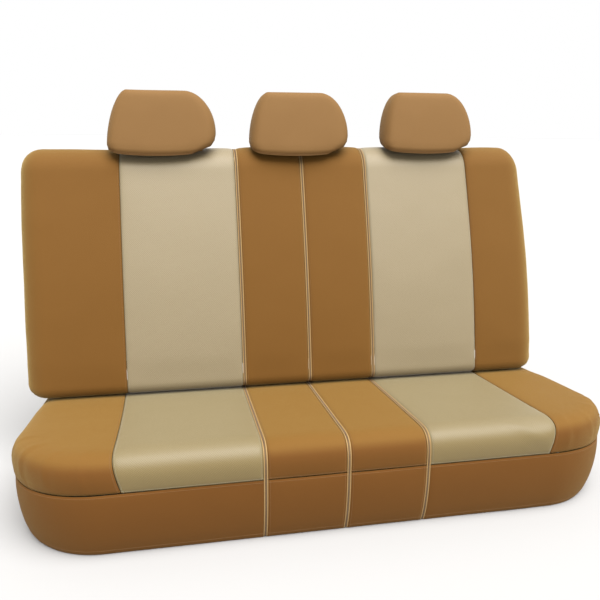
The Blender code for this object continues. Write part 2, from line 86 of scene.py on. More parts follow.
TOP_RISE = -BENCH_ZIP["axis"][2] / BENCH_ZIP["axis"][1]

# Radii and gaps that the frame's solids are built with.
BENCH_CORNER = 0.182
BENCH_EDGE = 0.073
FRONT_FULLNESS = 3.4  # the foam fills the rolled edge out
SIDE_FULLNESS = 4.6
INSERT_WIDER = 0.008  # the bench inserts widen to the rear and narrow below the crest
INSERT_NARROWER = 0.018
HEM_INSET = 0.013
HEM_LIFT = 0.0006  # the hem ends this far above what the bench stands on
REAR_LAP = 0.0016  # the rear panel's edges end this far inside the cloth round it
REAR_IN = 0.0028  # and its face this far inside that cloth's rear edge
HEM_CURL = 0.003  # the elastic pulls the last of the skirt under
BACK_EDGE = 0.050
BACK_CROWN = 0.012
FOOT_ROLL = 0.022
OPENING = 0.0042  # half the opening between the edges that a zip joins
SEAM = 0.0004  # half the gap between two sewn panels
TUCK = 0.080  # flap that runs back under the backrest
TAPE_DEPTH = 0.0012  # the zips' tapes lie this far under the fabric's outer face
ZIP_STEP = 0.004
TOOTH = (0.0036, 0.0013, 0.0011)  # across, along and through the zip
TOOTH_STEP = 0.0018
TOOTH_SHIFT = 0.0003
TOOTH_SUNK = 0.0005
CLOTH = 0.0032  # thickness of the foam-backed fabric
ROW = 0.0042  # a row of stitches lies this far inside its seam
HEM_ROW = 0.012
HEAD_ROW = 0.003
GRIP_ROW = 0.0016

FACE = FOLD - BACK * FOOT_ROLL  # through 0, up 0
REAR = (Vector(joint("back_middle_zip_slide")["pos_m"]) - FACE).dot(BACK)  # the backrest's thickness
ROUND = REAR / 2
SHOULDER = (high("back_left_insert").z - ROUND - (FACE + BACK * ROUND).z) / UP.z
HEM_UP = (low("back_left_rear_panel").z - FACE.z + REAR * UP.y) / UP.z


def top_height(y):
    """The flat of the bench top, which rises to the front."""
    return BENCH_ZIP["pos_m"][2] + TOP_RISE * (BENCH_ZIP["pos_m"][1] - y)


def on_back(x, through, up):
    return FACE + Vector((x, 0, 0)) + BACK * through + UP * up


def smooth(share):
    share = min(max(share, 0), 1)
    return share * share * (3 - 2 * share)


# Spacing along a panel.


NEAR = (0, 0.0006, 0.0014, 0.0026, 0.0042, 0.0064, 0.0095, 0.0145)


def graded(start, stop, coarse=0.009, fine=(True, True)):
    """Distances from start to stop, close together beside a seam."""
    length = stop - start
    near = [d for d in NEAR if d < length * 0.3]
    first = near if fine[0] else [0]
    last = [length - d for d in reversed(near)] if fine[1] else [length]
    span = last[0] - first[-1]
    count = max(1, round(span / coarse))
    between = [first[-1] + span * n / count for n in range(1, count)]
    return [start + d for d in first + between + last]


def rolled_place(distance, flat, radius):
    """Where a point comes to that runs flat and then down a rolled edge, seen from above."""
    if distance <= flat:
        return distance
    return flat + radius * sin(min((distance - flat) / radius, pi / 2))


def edge_drop(inside, radius, fullness=2.0):
    """How far a rolled edge has dropped at a distance inside its outline; 2 is round, more is boxier."""
    short = 1 - min(max(inside, 0), radius) / radius
    return radius * (1 - max(1 - short**fullness, 0) ** (1 / fullness))


def round_plan(x, y, half, deep, corner):
    """Bend a rectangle's two far corners round; also gives the distance inside the outline."""
    a, b = (abs(x) - half + corner) / corner, (y - deep + corner) / corner
    if a <= 0 or b <= 0:
        return x, y, min(half - abs(x), deep - y)
    wide, far = a * sqrt(max(1 - b * b / 2, 0)), b * sqrt(max(1 - a * a / 2, 0))
    out = (half - corner + corner * wide) * (1 if x > 0 else -1)
    return out, deep - corner + corner * far, corner * (1 - hypot(wide, far))


class Path:
    """A line in the Y-Z plane, read by the distance along it."""

    def __init__(self, points):
        self.points = np.array(points, float)
        steps = np.linalg.norm(np.diff(self.points, axis=0), axis=1)
        self.along = np.concatenate([[0], np.cumsum(steps)])
        self.long = float(self.along[-1])

    def at(self, distance):
        return tuple(np.interp(distance, self.along, self.points[:, k]) for k in range(2))


def linked(name, data):
    """An object of a mesh, a lamp or a camera, in the scene."""
    made = bpy.data.objects.new(name, data)
    bpy.context.scene.collection.objects.link(made)
    return made


# Cloth.


def runs(grid, axis):
    """Distance along the grid's lines, from its first row or column."""
    step = np.linalg.norm(np.diff(grid, axis=axis), axis=2)
    first = np.zeros_like(np.take(step, [0], axis=axis))
    return np.cumsum(np.concatenate([first, step], axis=axis), axis=axis)


def normals(grid, heart):
    """Unit normals of a grid, on the side away from the heart."""
    du, dv = np.gradient(grid, axis=1), np.gradient(grid, axis=0)
    made = np.cross(du, dv)
    made /= np.maximum(np.linalg.norm(made, axis=2, keepdims=True), 1e-12)
    if float((made * (grid - np.array(heart))).sum()) < 0:
        made = -made
    return made


def wander(grid, size, seed):
    """Smooth noise from -1 to 1 over a grid's points, with bumps of about that size."""
    shift = Vector((seed * 7.1, seed * 3.7, seed * 1.3))
    flat = [noise.noise(Vector(p) / size + shift) for p in grid.reshape(-1, 3)]
    return np.array(flat).reshape(grid.shape[:2])


SEEDS = iter(range(1, 500))
PUFF_REACH = 0.022  # the cloth reaches its full height this far from a seam
DIP_REACH = 0.0032  # and dives into the seam over this
PUCKER_WAVE = 0.0135
PUCKER_REACH = 0.011
LONG_SLACK = 0.16  # sizes of the bumps that slack cloth lies in
SHORT_SLACK = 0.06


def swell(grid, heart, seams, puff=0.003, tuck=0.0024, pucker=0.0005, slack=0.0012, creases=(), ease=None):
    """Move a flat panel's points out and in along its normals, as sewn cloth over foam lies.

    seams names the sides that are sewn: left, right, low, high. ease holds the panel flat where it
    gives less than 1.
    """
    seed = next(SEEDS)
    out = normals(grid, heart)
    across, along = runs(grid, 1), runs(grid, 0)
    reach = {
        "left": across,
        "right": across[:, -1:] - across,
        "low": along,
        "high": along[-1:, :] - along,
    }
    free = ease(grid) if ease else np.ones(across.shape)
    rise = puff * free
    dip = np.zeros(across.shape)
    ruck = np.zeros(across.shape)
    for side in seams:
        far = reach[side]
        rise *= 1 - np.exp(-far / PUFF_REACH)
        dip = np.maximum(dip, np.exp(-((far / DIP_REACH) ** 1.3)))
        beside = along if side in ("left", "right") else across
        phase = beside / PUCKER_WAVE * 2 * pi + 2.6 * wander(grid, SHORT_SLACK, seed + 40)
        strength = 0.5 + 0.5 * wander(grid, 0.09, seed + 60)
        ruck += np.sin(phase) * strength * np.exp(-far / PUCKER_REACH) * (1 - np.exp(-far / 0.003))
    lie = slack * (wander(grid, LONG_SLACK, seed) + 0.35 * wander(grid, SHORT_SLACK, seed + 20))
    settle = 1 - 0.7 * dip
    total = rise - tuck * dip + pucker * ruck + lie * settle * free
    for crease in creases:
        total = total + crease(grid) * settle
    return grid + out * total[..., None], across, along


def crease(start, stop, width, depth, bend=0.0):
    """A soft wrinkle in the cloth: a ridge with a valley beside it, from start to stop."""
    a, b = np.array(start, float), np.array(stop, float)

    def made(grid):
        d = b - a
        long = np.linalg.norm(d)
        away = grid - a
        t = (away @ d) / long**2
        nearest = a + np.clip(t, 0, 1)[..., None] * d
        side = np.cross(d / long, np.array(UP if abs(d[2]) > 0.5 * long else (0, 0, 1)))
        side /= max(np.linalg.norm(side), 1e-9)
        off = (grid - nearest) @ side + bend * np.sin(np.clip(t, 0, 1) * pi)
        beyond = np.linalg.norm(grid - nearest, axis=2)
        ends = np.clip(np.minimum(t, 1 - t) * 3 + 0.35, 0, 1)
        ends = ends * ends * (3 - 2 * ends)
        wave = np.exp(-((off / width) ** 2)) - 0.7 * np.exp(-(((off - 1.6 * width) / width) ** 2))
        return depth * wave * ends * (beyond < 6 * width + abs(bend))

    return made


def grid_mesh(name, grid, across, along, heart):
    """A mesh of a grid of points, with its cloth's own length and width as UVs, in metres."""
    down, wide = grid.shape[:2]
    index = np.arange(down * wide).reshape(down, wide)
    corners = (index[:-1, :-1], index[:-1, 1:], index[1:, 1:], index[1:, :-1])
    faces = np.stack(corners, axis=2).reshape(-1, 4)
    a, b, c = grid[:-1, :-1], grid[:-1, 1:], grid[1:, :-1]
    turn = np.cross(b - a, c - a)
    if float((turn * (a - np.array(heart))).sum()) < 0:
        faces = faces[:, ::-1]
    mesh = bpy.data.meshes.new(name)
    mesh.from_pydata(grid.reshape(-1, 3).tolist(), [], faces.tolist())
    layer = mesh.uv_layers.new(name="cloth")
    flat = np.stack([across, along], axis=2).reshape(-1, 2)
    loops = np.empty(len(mesh.loops), int)
    mesh.loops.foreach_get("vertex_index", loops)
    layer.data.foreach_set("uv", flat[loops].ravel())
    mesh.shade_smooth()
    return linked(name, mesh)


def thicken(made, name, thickness, offset=-1):
    """Give a sheet its thickness, inwards unless told otherwise."""
    solid = made.modifiers.new(name, "SOLIDIFY")
    solid.thickness = thickness
    solid.offset = offset
    return solid


def belong(made, body, node=None):
    """Let a piece ride on its body and stand for its CAD node."""
    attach(made, body)
    if node:
        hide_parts(node)


def cloth(node, body, fabric, grid, heart, seams, rows=(), name=None, lining=None, thick=CLOTH, sheet=True,
          **looks):
    """One sewn panel in place of its CAD node: swollen, thickened, dressed and stitched.

    rows gives the sides that have a row of stitches, each with its distance from the edge.
    """
    slot, thread = DRESS[fabric.name]
    placed, across, along = swell(grid, heart, seams, **looks)
    made = grid_mesh(name or f"{node}_cloth", placed, across, along, heart)
    made.data.materials.append(fabric)
    made.data.materials.append(lining or LINING)
    solid = thicken(made, "cloth", thick)
    solid.material_offset = 1
    solid.material_offset_rim = 0
    belong(made, body, node)
    for side, inset in dict(rows).items():
        stitch(body, thread, placed, heart, side, inset)


# Materials.


def nodes_of(name):
    made = bpy.data.materials.new(name)
    made.use_nodes = True
    tree = made.node_tree
    return made, tree, tree.nodes["Principled BSDF"]


def feed(tree, socket, value):
    """Link a socket to another, or set its value."""
    if isinstance(value, bpy.types.NodeSocket):
        tree.links.new(value, socket)
    else:
        socket.default_value = value


def add(tree, kind, values=None, **settings):
    """A shader node with its settings and its inputs' values or links."""
    node = tree.nodes.new(kind)
    for key, value in settings.items():
        setattr(node, key, value)
    for key, value in (values or {}).items():
        feed(tree, node.inputs[key], value)
    return node


def maths(tree, operation, *values, clamp=False):
    node = add(tree, "ShaderNodeMath", dict(enumerate(values)), operation=operation, use_clamp=clamp)
    return node.outputs[0]


def mixed(tree, factor, a, b):
    colours = {k: (*c, 1) if isinstance(c, tuple) else c for k, c in ((6, a), (7, b))}
    return add(tree, "ShaderNodeMix", {0: factor, **colours}, data_type="RGBA").outputs[2]


def cloudy(tree, scale, detail):
    """Noise over the object's own space."""
    world = add(tree, "ShaderNodeTexCoord").outputs["Object"]
    values = {"Vector": world, "Scale": scale, "Detail": detail}
    return add(tree, "ShaderNodeTexNoise", values).outputs[0]


def darker(colour, share):
    return tuple(c * share for c in colour)


def linear(red, green, blue):
    """An sRGB colour of 0 to 255 as the linear values that shaders take."""
    shares = (c / 255 for c in (red, green, blue))
    return tuple(((c + 0.055) / 1.055) ** 2.4 if c > 0.04045 else c / 12.92 for c in shares)


def dressed(shader, tree, base, height, strength, depth, values):
    """Set a cloth's colour, its bump and the rest of its surface."""
    bump = add(tree, "ShaderNodeBump", {"Height": height, "Strength": strength, "Distance": depth})
    for key, value in {"Base Color": base, "Normal": bump.outputs[0], **values}.items():
        feed(tree, shader.inputs[key], value)


def eased(tree, value, start, stop):
    """Nothing below start, all above stop and smooth between."""
    values = {"Value": value, "From Min": start, "From Max": stop}
    return add(tree, "ShaderNodeMapRange", values, interpolation_type="SMOOTHSTEP").outputs[0]


def painted_upright_shade(tree, base, upright_shade):
    """Painted shade: the cloth's colour deepens from where it lies level to where it stands upright, by the
    way its normal faces.
    """
    facing = add(tree, "ShaderNodeNewGeometry").outputs["Normal"]
    level = add(tree, "ShaderNodeSeparateXYZ", {0: facing}).outputs[2]
    return mixed(tree, eased(tree, level, SHADE_FULL_BELOW, SHADE_NONE_ABOVE), upright_shade, base)


def knit(name, colour, shade, pitch, depth, roughness, sheen, tint=None, upright_shade=None):
    """Plain knitted cloth: wales and courses at the given pitch, a little uneven in colour, with painted
    shade in its grooves and, where given, painted shade where it stands upright.
    """
    made, tree, shader = nodes_of(name)
    place = add(tree, "ShaderNodeUVMap", uv_map="cloth").outputs[0]
    split = add(tree, "ShaderNodeSeparateXYZ", {0: place})
    turn = 2 * pi / pitch
    wale = maths(tree, "SINE", maths(tree, "MULTIPLY", split.outputs[0], turn))
    lag = maths(tree, "MULTIPLY", wale, 0.9)
    course = maths(tree, "SINE", maths(tree, "MULTIPLY_ADD", split.outputs[1], turn * 1.3, lag))
    ridge = maths(tree, "MULTIPLY", maths(tree, "ABSOLUTE", wale), 0.8)
    weave = maths(tree, "MULTIPLY_ADD", course, 0.5, ridge)
    tone = maths(tree, "MULTIPLY_ADD", cloudy(tree, 14.0, 3.0), 4 * MOTTLE, 0.5 - 2 * MOTTLE, clamp=True)
    base = mixed(tree, tone, colour, shade)
    # Painted shade where the cloth stands upright.
    if upright_shade:
        base = painted_upright_shade(tree, base, upright_shade)
    # Painted shade: the knit's grooves are darkened.
    deep = maths(tree, "MULTIPLY_ADD", weave, -0.12, 0.12, clamp=True)
    base = mixed(tree, deep, base, darker(colour, 0.45))
    height = maths(tree, "MULTIPLY_ADD", cloudy(tree, 900.0, 2.0), 0.35, weave)
    dressed(shader, tree, base, height, 0.6, depth, {
        "Roughness": roughness,
        "Specular IOR Level": 0.12,
        "Sheen Weight": sheen,
        "Sheen Roughness": 0.45,
        "Sheen Tint": (*(tint or colour), 1),
    })
    return made


def spacer_mesh(name, colour, hole, sheen, tint, upright_shade=None):
    """Air mesh: a diagonal lattice of small oval holes in a slightly glossy knit, with painted shade
    darkening the holes and, where given, painted shade where it stands upright.
    """
    made, tree, shader = nodes_of(name)
    place = add(tree, "ShaderNodeUVMap", uv_map="cloth").outputs[0]
    turned = add(tree, "ShaderNodeMapping", {
        "Vector": place,
        "Rotation": (0, 0, pi / 4),
        "Scale": (1 / MESH_PITCH, 1 / MESH_PITCH, 1),
    }).outputs[0]
    cells = add(tree, "ShaderNodeTexVoronoi", {"Vector": turned, "Scale": 1.0, "Randomness": 0.08})
    ring = eased(tree, cells.outputs["Distance"], HOLE, RING)
    tone = maths(tree, "MULTIPLY_ADD", cloudy(tree, 11.0, 3.0), 0.5, -0.05, clamp=True)
    base = mixed(tree, tone, colour, darker(colour, 0.9))
    # Painted shade where the mesh stands upright.
    if upright_shade:
        base = painted_upright_shade(tree, base, upright_shade)
    # Painted shade: the holes are darkened.
    base = mixed(tree, ring, hole, base)
    height = maths(tree, "MULTIPLY_ADD", cloudy(tree, 1100.0, 1.0), 0.15, ring)
    dressed(shader, tree, base, height, 0.7, 0.0005, {
        "Roughness": 0.5,
        "Specular IOR Level": 0.4,
        "Sheen Weight": sheen,
        "Sheen Roughness": 0.35,
        "Sheen Tint": (*tint, 1),
    })
    return made


def plain(name, colour, roughness, metallic=0.0, grain=0.00005, scale=400.0):
    """Plastic, metal or thread with a fine uneven surface."""
    made, tree, shader = nodes_of(name)
    fuzz = cloudy(tree, scale, 4.0)
    base = mixed(tree, maths(tree, "MULTIPLY", fuzz, 0.3, clamp=True), colour, darker(colour, 0.6))
    rough = maths(tree, "MULTIPLY_ADD", fuzz, 0.2, roughness - 0.1, clamp=True)
    dressed(shader, tree, base, fuzz, 0.4, grain, {"Roughness": rough, "Metallic": metallic})
    return made


MOTTLE = 0.10
MESH_PITCH = 0.0032
HOLE = 0.16  # of the pitch: the radius of a mesh hole, and where the yarn round it starts
RING = 0.34
SHADE_FULL_BELOW = 0.28  # the normal's upward part below which the cloth is in full painted shade, and above which it has none
SHADE_NONE_ABOVE = 0.82
BROWN = knit("brown knit", (0.122, 0.0535, 0.009), (0.113, 0.0485, 0.008), 0.0011, 0.00016, 0.72, 0.36,
             (0.9, 0.72, 0.26))
# The bench's brown knit: the backrest's cloth painted lighter, as a highlight where it lies level, with less
# sheen, and painted in shade where it stands upright.
BENCH_BROWN = knit("bench knit", (0.138, 0.065, 0.012), (0.129, 0.060, 0.011), 0.0011, 0.00016, 0.74, 0.20,
                   (0.9, 0.72, 0.26), upright_shade=(0.104, 0.040, 0.0065))
# The skirts' knit: the same brown cloth painted darker and redder, as the shade on the upright skirts, with
# less sheen.
SKIRT = knit("skirt knit", (0.112, 0.0435, 0.0075), (0.104, 0.0395, 0.0065), 0.0011, 0.00016, 0.80, 0.1,
             (0.9, 0.7, 0.25))
TAN = knit("headrest knit", (0.160, 0.084, 0.028), (0.147, 0.077, 0.025), 0.0011, 0.00014, 0.70, 0.08,
           (0.9, 0.7, 0.35))
BACK_MESH = spacer_mesh("backrest mesh", (0.200, 0.160, 0.092), (0.140, 0.103, 0.052), 0.5, (0.9, 0.88, 0.82))
# The bench's mesh: the backrest's mesh painted darker, as shade, with darker painted shade in its holes and
# painted shade where it stands upright.
BENCH_MESH = spacer_mesh("bench mesh", (0.164, 0.128, 0.062), (0.092, 0.065, 0.025), 0.25, (0.8, 0.74, 0.56),
                         upright_shade=(0.148, 0.106, 0.038))
LINING = knit("foam backing", (0.309, 0.289, 0.246), (0.276, 0.257, 0.217), 0.0016, 0.0002, 0.9, 0.1)
REAR_CLOTH = knit("rear lining", (0.128, 0.061, 0.014), (0.110, 0.051, 0.011), 0.0018, 0.0002, 0.9, 0.1)
TAPE = knit("zip tape", (0.330, 0.215, 0.095), (0.310, 0.200, 0.086), 0.0008, 0.0001, 0.6, 0.2)
# The zip's coil: its own dark colour, deepened further as painted shade in the groove between the tapes.
COIL = plain("zip coil", (0.085, 0.045, 0.016), 0.5, grain=0.0001)
BROWN_THREAD = plain("brown thread", (0.169, 0.077, 0.019), 0.6)
BEIGE_THREAD = plain("beige thread", (0.247, 0.214, 0.138), 0.6)
BRASS = plain("zip slider", linear(196, 166, 110), 0.32, metallic=0.9, grain=0.00004)
WEBBING = knit("elastic webbing", linear(46, 42, 38), linear(40, 36, 32), 0.0014, 0.0003, 0.8, 0.2)
GRIP = knit("hook tape", linear(42, 38, 34), linear(36, 32, 28), 0.0010, 0.0004, 0.95, 0.4)
BUCKLE = plain("buckle plastic", linear(38, 36, 34), 0.42, grain=0.00008, scale=900)

# Each fabric's slot and thread, and each thread's slot, material and length of stitch.
DRESS = {
    "brown knit": ("brown_fabric", "brown"),
    "bench knit": ("brown_fabric", "brown"),
    "skirt knit": ("brown_fabric", "brown"),
    "rear lining": ("lining", "brown"),
    "backrest mesh": ("beige_mesh", "beige"),
    "bench mesh": ("beige_mesh", "beige"),
    "headrest knit": ("headrest_fabric", "tan"),
    "hook tape": ("grip_tape", "grip"),
}
SEWING = {
    "brown": ("brown_fabric", BROWN_THREAD, 0.0038),
    "beige": ("beige_mesh", BEIGE_THREAD, 0.0038),
    "tan": ("headrest_fabric", BROWN_THREAD, 0.0038),
    "grip": ("grip_tape", BUCKLE, 0.0030),
}


# Threads and zip teeth: many small solids in one mesh.


STUD_RINGS = ((-0.5, 0.45), (-0.22, 1), (0.22, 1), (0.5, 0.45))  # place along, and share of its width
STUD_SIDES = ((-0.5, 0), (-0.3, 1), (0.3, 1), (0.5, 0), (0.3, -0.6), (-0.3, -0.6))  # across and out


class Studs:
    """Small six-sided solids strung along lines, kept together for one body."""

    def __init__(self):
        self.points = []
        self.faces = []

    def put(self, middle, along, side, out, long, wide, tall):
        """A stud with sharp ends: long from end to end, wide and tall at its middle."""
        start = len(self.points)
        for reach, share in STUD_RINGS:
            for s, o in STUD_SIDES:
                aside = side * (wide * s * share) + out * (tall * o * share * 0.5)
                self.points.append(middle + along * (long * reach) + aside)
        for ring in range(3):
            for n in range(6):
                a, b = start + ring * 6 + n, start + ring * 6 + (n + 1) % 6
                self.faces.append((a, b, b + 6, a + 6))
        self.faces.append(tuple(start + n for n in reversed(range(6))))
        self.faces.append(tuple(start + 18 + n for n in range(6)))

    def finish(self, name, body, slot, material):
        mesh = bpy.data.meshes.new(name)
        mesh.from_pydata(self.points, [], self.faces)
        tidy = bmesh.new()
        tidy.from_mesh(mesh)
        bmesh.ops.recalc_face_normals(tidy, faces=tidy.faces)
        tidy.to_mesh(mesh)
        tidy.free()
        mesh.shade_smooth()
        mesh.materials.append(material)
        belong(linked(name, mesh), body)


def walk(line, pitch):
    """Evenly spaced points on a polyline, each with the way along it."""
    line = np.asarray(line)
    pieces = np.linalg.norm(np.diff(line, axis=0), axis=1)
    along = np.concatenate([[0], np.cumsum(pieces)])
    count = int(along[-1] / pitch)
    for n in range(count):
        d = (n + 0.5) * along[-1] / count
        k = min(int(np.searchsorted(along, d, side="right")) - 1, len(pieces) - 1)
        t = (d - along[k]) / max(pieces[k], 1e-9)
        step = line[k + 1] - line[k]
        yield Vector(line[k] + step * t), Vector(step).normalized(), k, t


THREADS = {}
THREAD = (0.0008, 0.0009)  # a stitch across and through the cloth
THREAD_LONG = 0.74  # of the pitch
THREAD_PROUD = 0.00005


def stitch(body, thread, placed, heart, side, inset):
    """A row of stitches on a panel, parallel to one of its sides."""
    out = normals(placed, heart)
    if side in ("low", "high"):
        placed, out = placed.transpose(1, 0, 2), out.transpose(1, 0, 2)
    across = runs(placed, 1)
    if side in ("right", "high"):
        across = across[:, -1:] - across
    line, faces = [], []
    for reach, points, ways in zip(across, placed, out):
        order = np.argsort(reach)
        line.append([np.interp(inset, reach[order], points[order, k]) for k in range(3)])
        faces.append([np.interp(inset, reach[order], ways[order, k]) for k in range(3)])
    studs = THREADS.setdefault((body, thread), Studs())
    pitch = SEWING[thread][2]
    for middle, way, k, t in walk(line, pitch):
        up = (Vector(faces[k]).lerp(Vector(faces[k + 1]), t)).normalized()
        studs.put(middle + up * THREAD_PROUD, way, way.cross(up), up, pitch * THREAD_LONG, *THREAD)


def sew_threads():
    for (body, thread), studs in THREADS.items():
        slot, material, _ = SEWING[thread]
        studs.finish(f"{body}_{thread}_stitching", body, slot, material)


# Bench cover.

BENCH_DEEP = BENCH_REAR - BENCH_FRONT
BENCH_HEART = (MIDDLE_X, (BENCH_REAR + BENCH_FRONT) / 2, 0.05)
SKIRT_TALL = 0.138
SEWN = ("left", "right", "high")
ALL_ROUND = ("left", "right", "low", "high")
SIDE_ROWS = {"left": ROW, "right": ROW}
HEM_ROWS = {"high": HEM_ROW, "low": ROW}
SIDES = (("left", -1), ("right", 1))


def bench_point(x, from_rear, half):
    x, deep, inside = round_plan(x, from_rear, half, BENCH_DEEP, BENCH_CORNER)
    y = BENCH_REAR - deep
    ahead = smooth(1 + (deep - BENCH_DEEP) / BENCH_CORNER)
    fullness = SIDE_FULLNESS + (FRONT_FULLNESS - SIDE_FULLNESS) * ahead
    return (MIDDLE_X + x, y, top_height(y) - edge_drop(inside, BENCH_EDGE, fullness))


def under_backrest(grid):
    """The bench lies flat where the backrest stands on it."""
    return 0.2 + 0.8 * np.clip((FOLD.y - 0.01 - grid[..., 1]) / 0.06, 0, 1)


def bench_path():
    flat = BENCH_DEEP - BENCH_EDGE
    whole = flat + BENCH_EDGE * pi / 2
    return Path([bench_point(0, rolled_place(whole * n / 400, flat, BENCH_EDGE), 1)[1:] for n in range(401)])


def insert_edge_moved(grid):
    """Move a bench insert's outer seam: the insert widens to the rear and narrows below the crest."""
    moved = grid.copy()
    across = grid[..., 0] - MIDDLE_X
    crest = BENCH_FRONT + BENCH_EDGE
    behind = np.clip((grid[..., 1] - crest) / (FOLD.y - crest), 0, 1) ** 2
    below = np.clip((top_height(BENCH_FRONT) - 0.012 - grid[..., 2]) / BENCH_EDGE, 0, 1) ** 1.3
    below *= grid[..., 1] < crest
    near = np.clip(1 - np.abs(np.abs(across) - INSERT_X) / 0.09, 0, 1)
    shift = (INSERT_WIDER * behind - INSERT_NARROWER * below) * near * near * (3 - 2 * near)
    moved[..., 0] += np.sign(across) * shift
    return moved


def ribbon_grid(path, xs, distances):
    rows = [[(MIDDLE_X + x, *path.at(d)) for x in xs] for d in distances]
    return np.array(rows, float)


def outline_at(distance, half, start):
    """The bench's plan from the front to the rear, by the distance from start: place and outward side."""
    straight = half - BENCH_CORNER - start
    turn = BENCH_CORNER * pi / 2
    if distance < straight:
        return Vector((start + distance, BENCH_FRONT)), Vector((0, -1))
    if distance < straight + turn:
        angle = (distance - straight) / BENCH_CORNER
        out = Vector((sin(angle), -cos(angle)))
        return Vector((half - BENCH_CORNER, BENCH_FRONT + BENCH_CORNER)) + out * BENCH_CORNER, out
    return Vector((half, BENCH_FRONT + BENCH_CORNER + distance - straight - turn)), Vector((1, 0))


def skirt_in(down):
    """How far the skirt lies inside its top seam: it bellies out a little and pulls in to the hem."""
    return HEM_INSET * down**1.6 - 0.0035 * sin(pi * down) + HEM_CURL * max(0, (down - 0.7) / 0.3) ** 2


def skirt_grid(half, start, stop, mirror):
    longs = graded(0, stop, 0.010)
    rows = []
    for down in steps_down():
        row = []
        for distance in longs:
            place, out = outline_at(distance, half, start)
            seam = top_height(place.y) - BENCH_EDGE
            z = seam - SEAM - (seam - SEAM - HEM_LIFT) * down
            at = place - out * skirt_in(down)
            row.append((MIDDLE_X + mirror * at.x, at.y, z))
        rows.append(row)
    return np.array(rows, float)


def steps_down():
    """Shares of the skirt's height, close together beside its seam and its hem."""
    return [d / SKIRT_TALL for d in graded(0, SKIRT_TALL)]


def bench_cover():
    path = bench_path()
    downs = graded(0, path.long - SEAM, 0.010)
    middles = {
        "bench_left_insert": (-INSERT_X + SEAM, -ZIP_X - OPENING, BENCH_MESH),
        "bench_left_middle_panel": (-ZIP_X + OPENING, -OPENING, BENCH_BROWN),
        "bench_right_middle_panel": (OPENING, ZIP_X - OPENING, BENCH_BROWN),
        "bench_right_insert": (ZIP_X + OPENING, INSERT_X - SEAM, BENCH_MESH),
    }
    for node, (first, last, fabric) in middles.items():
        grid = insert_edge_moved(ribbon_grid(path, graded(first, last), downs))
        cloth(node, "bench_cover", fabric, grid, BENCH_HEART, SEWN, {**SIDE_ROWS, "high": ROW},
              creases=insert_creases(node), ease=under_backrest)
    for (side, mirror), half in zip(SIDES, (BENCH_LEFT, BENCH_RIGHT)):
        bench_outer(side, mirror, half)
        bench_skirts(side, mirror, half)
    bench_rear()


def insert_creases(node):
    """The small slanting wrinkles at the front outer corner of an insert."""
    if node != "bench_right_insert":
        return ()
    corner = Vector((MIDDLE_X + INSERT_X, BENCH_FRONT, top_height(BENCH_FRONT) - BENCH_EDGE))
    made = []
    for n in range(5):
        start = corner + Vector((-0.006 - 0.012 * n, 0.004, 0.012 + 0.006 * n))
        stop = corner + Vector((-0.05 - 0.022 * n, 0.004 + 0.010 * n, 0.050 + 0.006 * n))
        made.append(crease(start, stop, 0.005, 0.0013, 0.004))
    return made


def bench_outer(side, mirror, half):
    """The outer panel, which rolls down round the corner of the seat."""
    start = INSERT_X + SEAM
    flat_x, flat_y = half - BENCH_EDGE - start, BENCH_DEEP - BENCH_EDGE
    turn = BENCH_EDGE * pi / 2 - SEAM / 4
    wides = [start + rolled_place(d, flat_x, BENCH_EDGE) for d in graded(0, flat_x + turn)]
    deeps = [rolled_place(d, flat_y, BENCH_EDGE) for d in graded(0, flat_y + turn)]
    grid = np.array([[bench_point(mirror * x, d, half) for x in wides] for d in deeps], float)
    heart = (BENCH_HEART[0] + mirror * 0.45, BENCH_HEART[1], BENCH_HEART[2])
    cloth(f"bench_{side}_outer_panel", "bench_cover", BENCH_BROWN, insert_edge_moved(grid), heart, SEWN,
          {"left": ROW}, tuck=0.0011, slack=0.0018, creases=corner_creases(mirror, half), ease=under_backrest)


def corner_creases(mirror, half):
    made = []
    middle = Vector((MIDDLE_X + mirror * (half - BENCH_CORNER), BENCH_FRONT + BENCH_CORNER, 0))
    for n, angle in enumerate((8, 30, 52, 74)):
        out = Vector((mirror * sin(radians(angle)), -cos(radians(angle)), 0))
        top = top_height(BENCH_FRONT)
        start = middle + out * (BENCH_CORNER - 0.002) + Vector((0, 0, top - BENCH_EDGE + 0.004))
        stop = middle + out * (BENCH_CORNER - 0.05) + Vector((0, 0, top - 0.014))
        made.append(crease(start, stop, 0.007, 0.0011 if n % 2 else 0.0016, 0.003))
    return made


def bench_skirts(side, mirror, half):
    """The skirt round a front corner, and the narrow one in front between two zips."""
    start = ZIP_X + OPENING
    long = half - BENCH_CORNER - start + BENCH_CORNER * pi / 2 + BENCH_DEEP - BENCH_CORNER
    heart = (BENCH_HEART[0] + mirror * 0.3, BENCH_HEART[1] + 0.05, BENCH_HEART[2])
    cloth(f"bench_{side}_skirt", "bench_cover", SKIRT, skirt_grid(half, start, long, mirror), heart,
          ("left", "low", "high"), HEM_ROWS, puff=0.0012, slack=0.0016, tuck=0.0009)
    grid = skirt_grid(half, OPENING, ZIP_X - 2 * OPENING, mirror)
    cloth(f"bench_{side}_middle_skirt", "bench_cover", SKIRT, grid, BENCH_HEART, ALL_ROUND,
          {**HEM_ROWS, **SIDE_ROWS}, puff=0.002, tuck=0.0012)


def pulled_with_skirt(x, down):
    """The rear panel narrows as the skirts beside it do."""
    return x * (1 - skirt_in(down) / (BENCH_RIGHT if x > 0 else BENCH_LEFT))


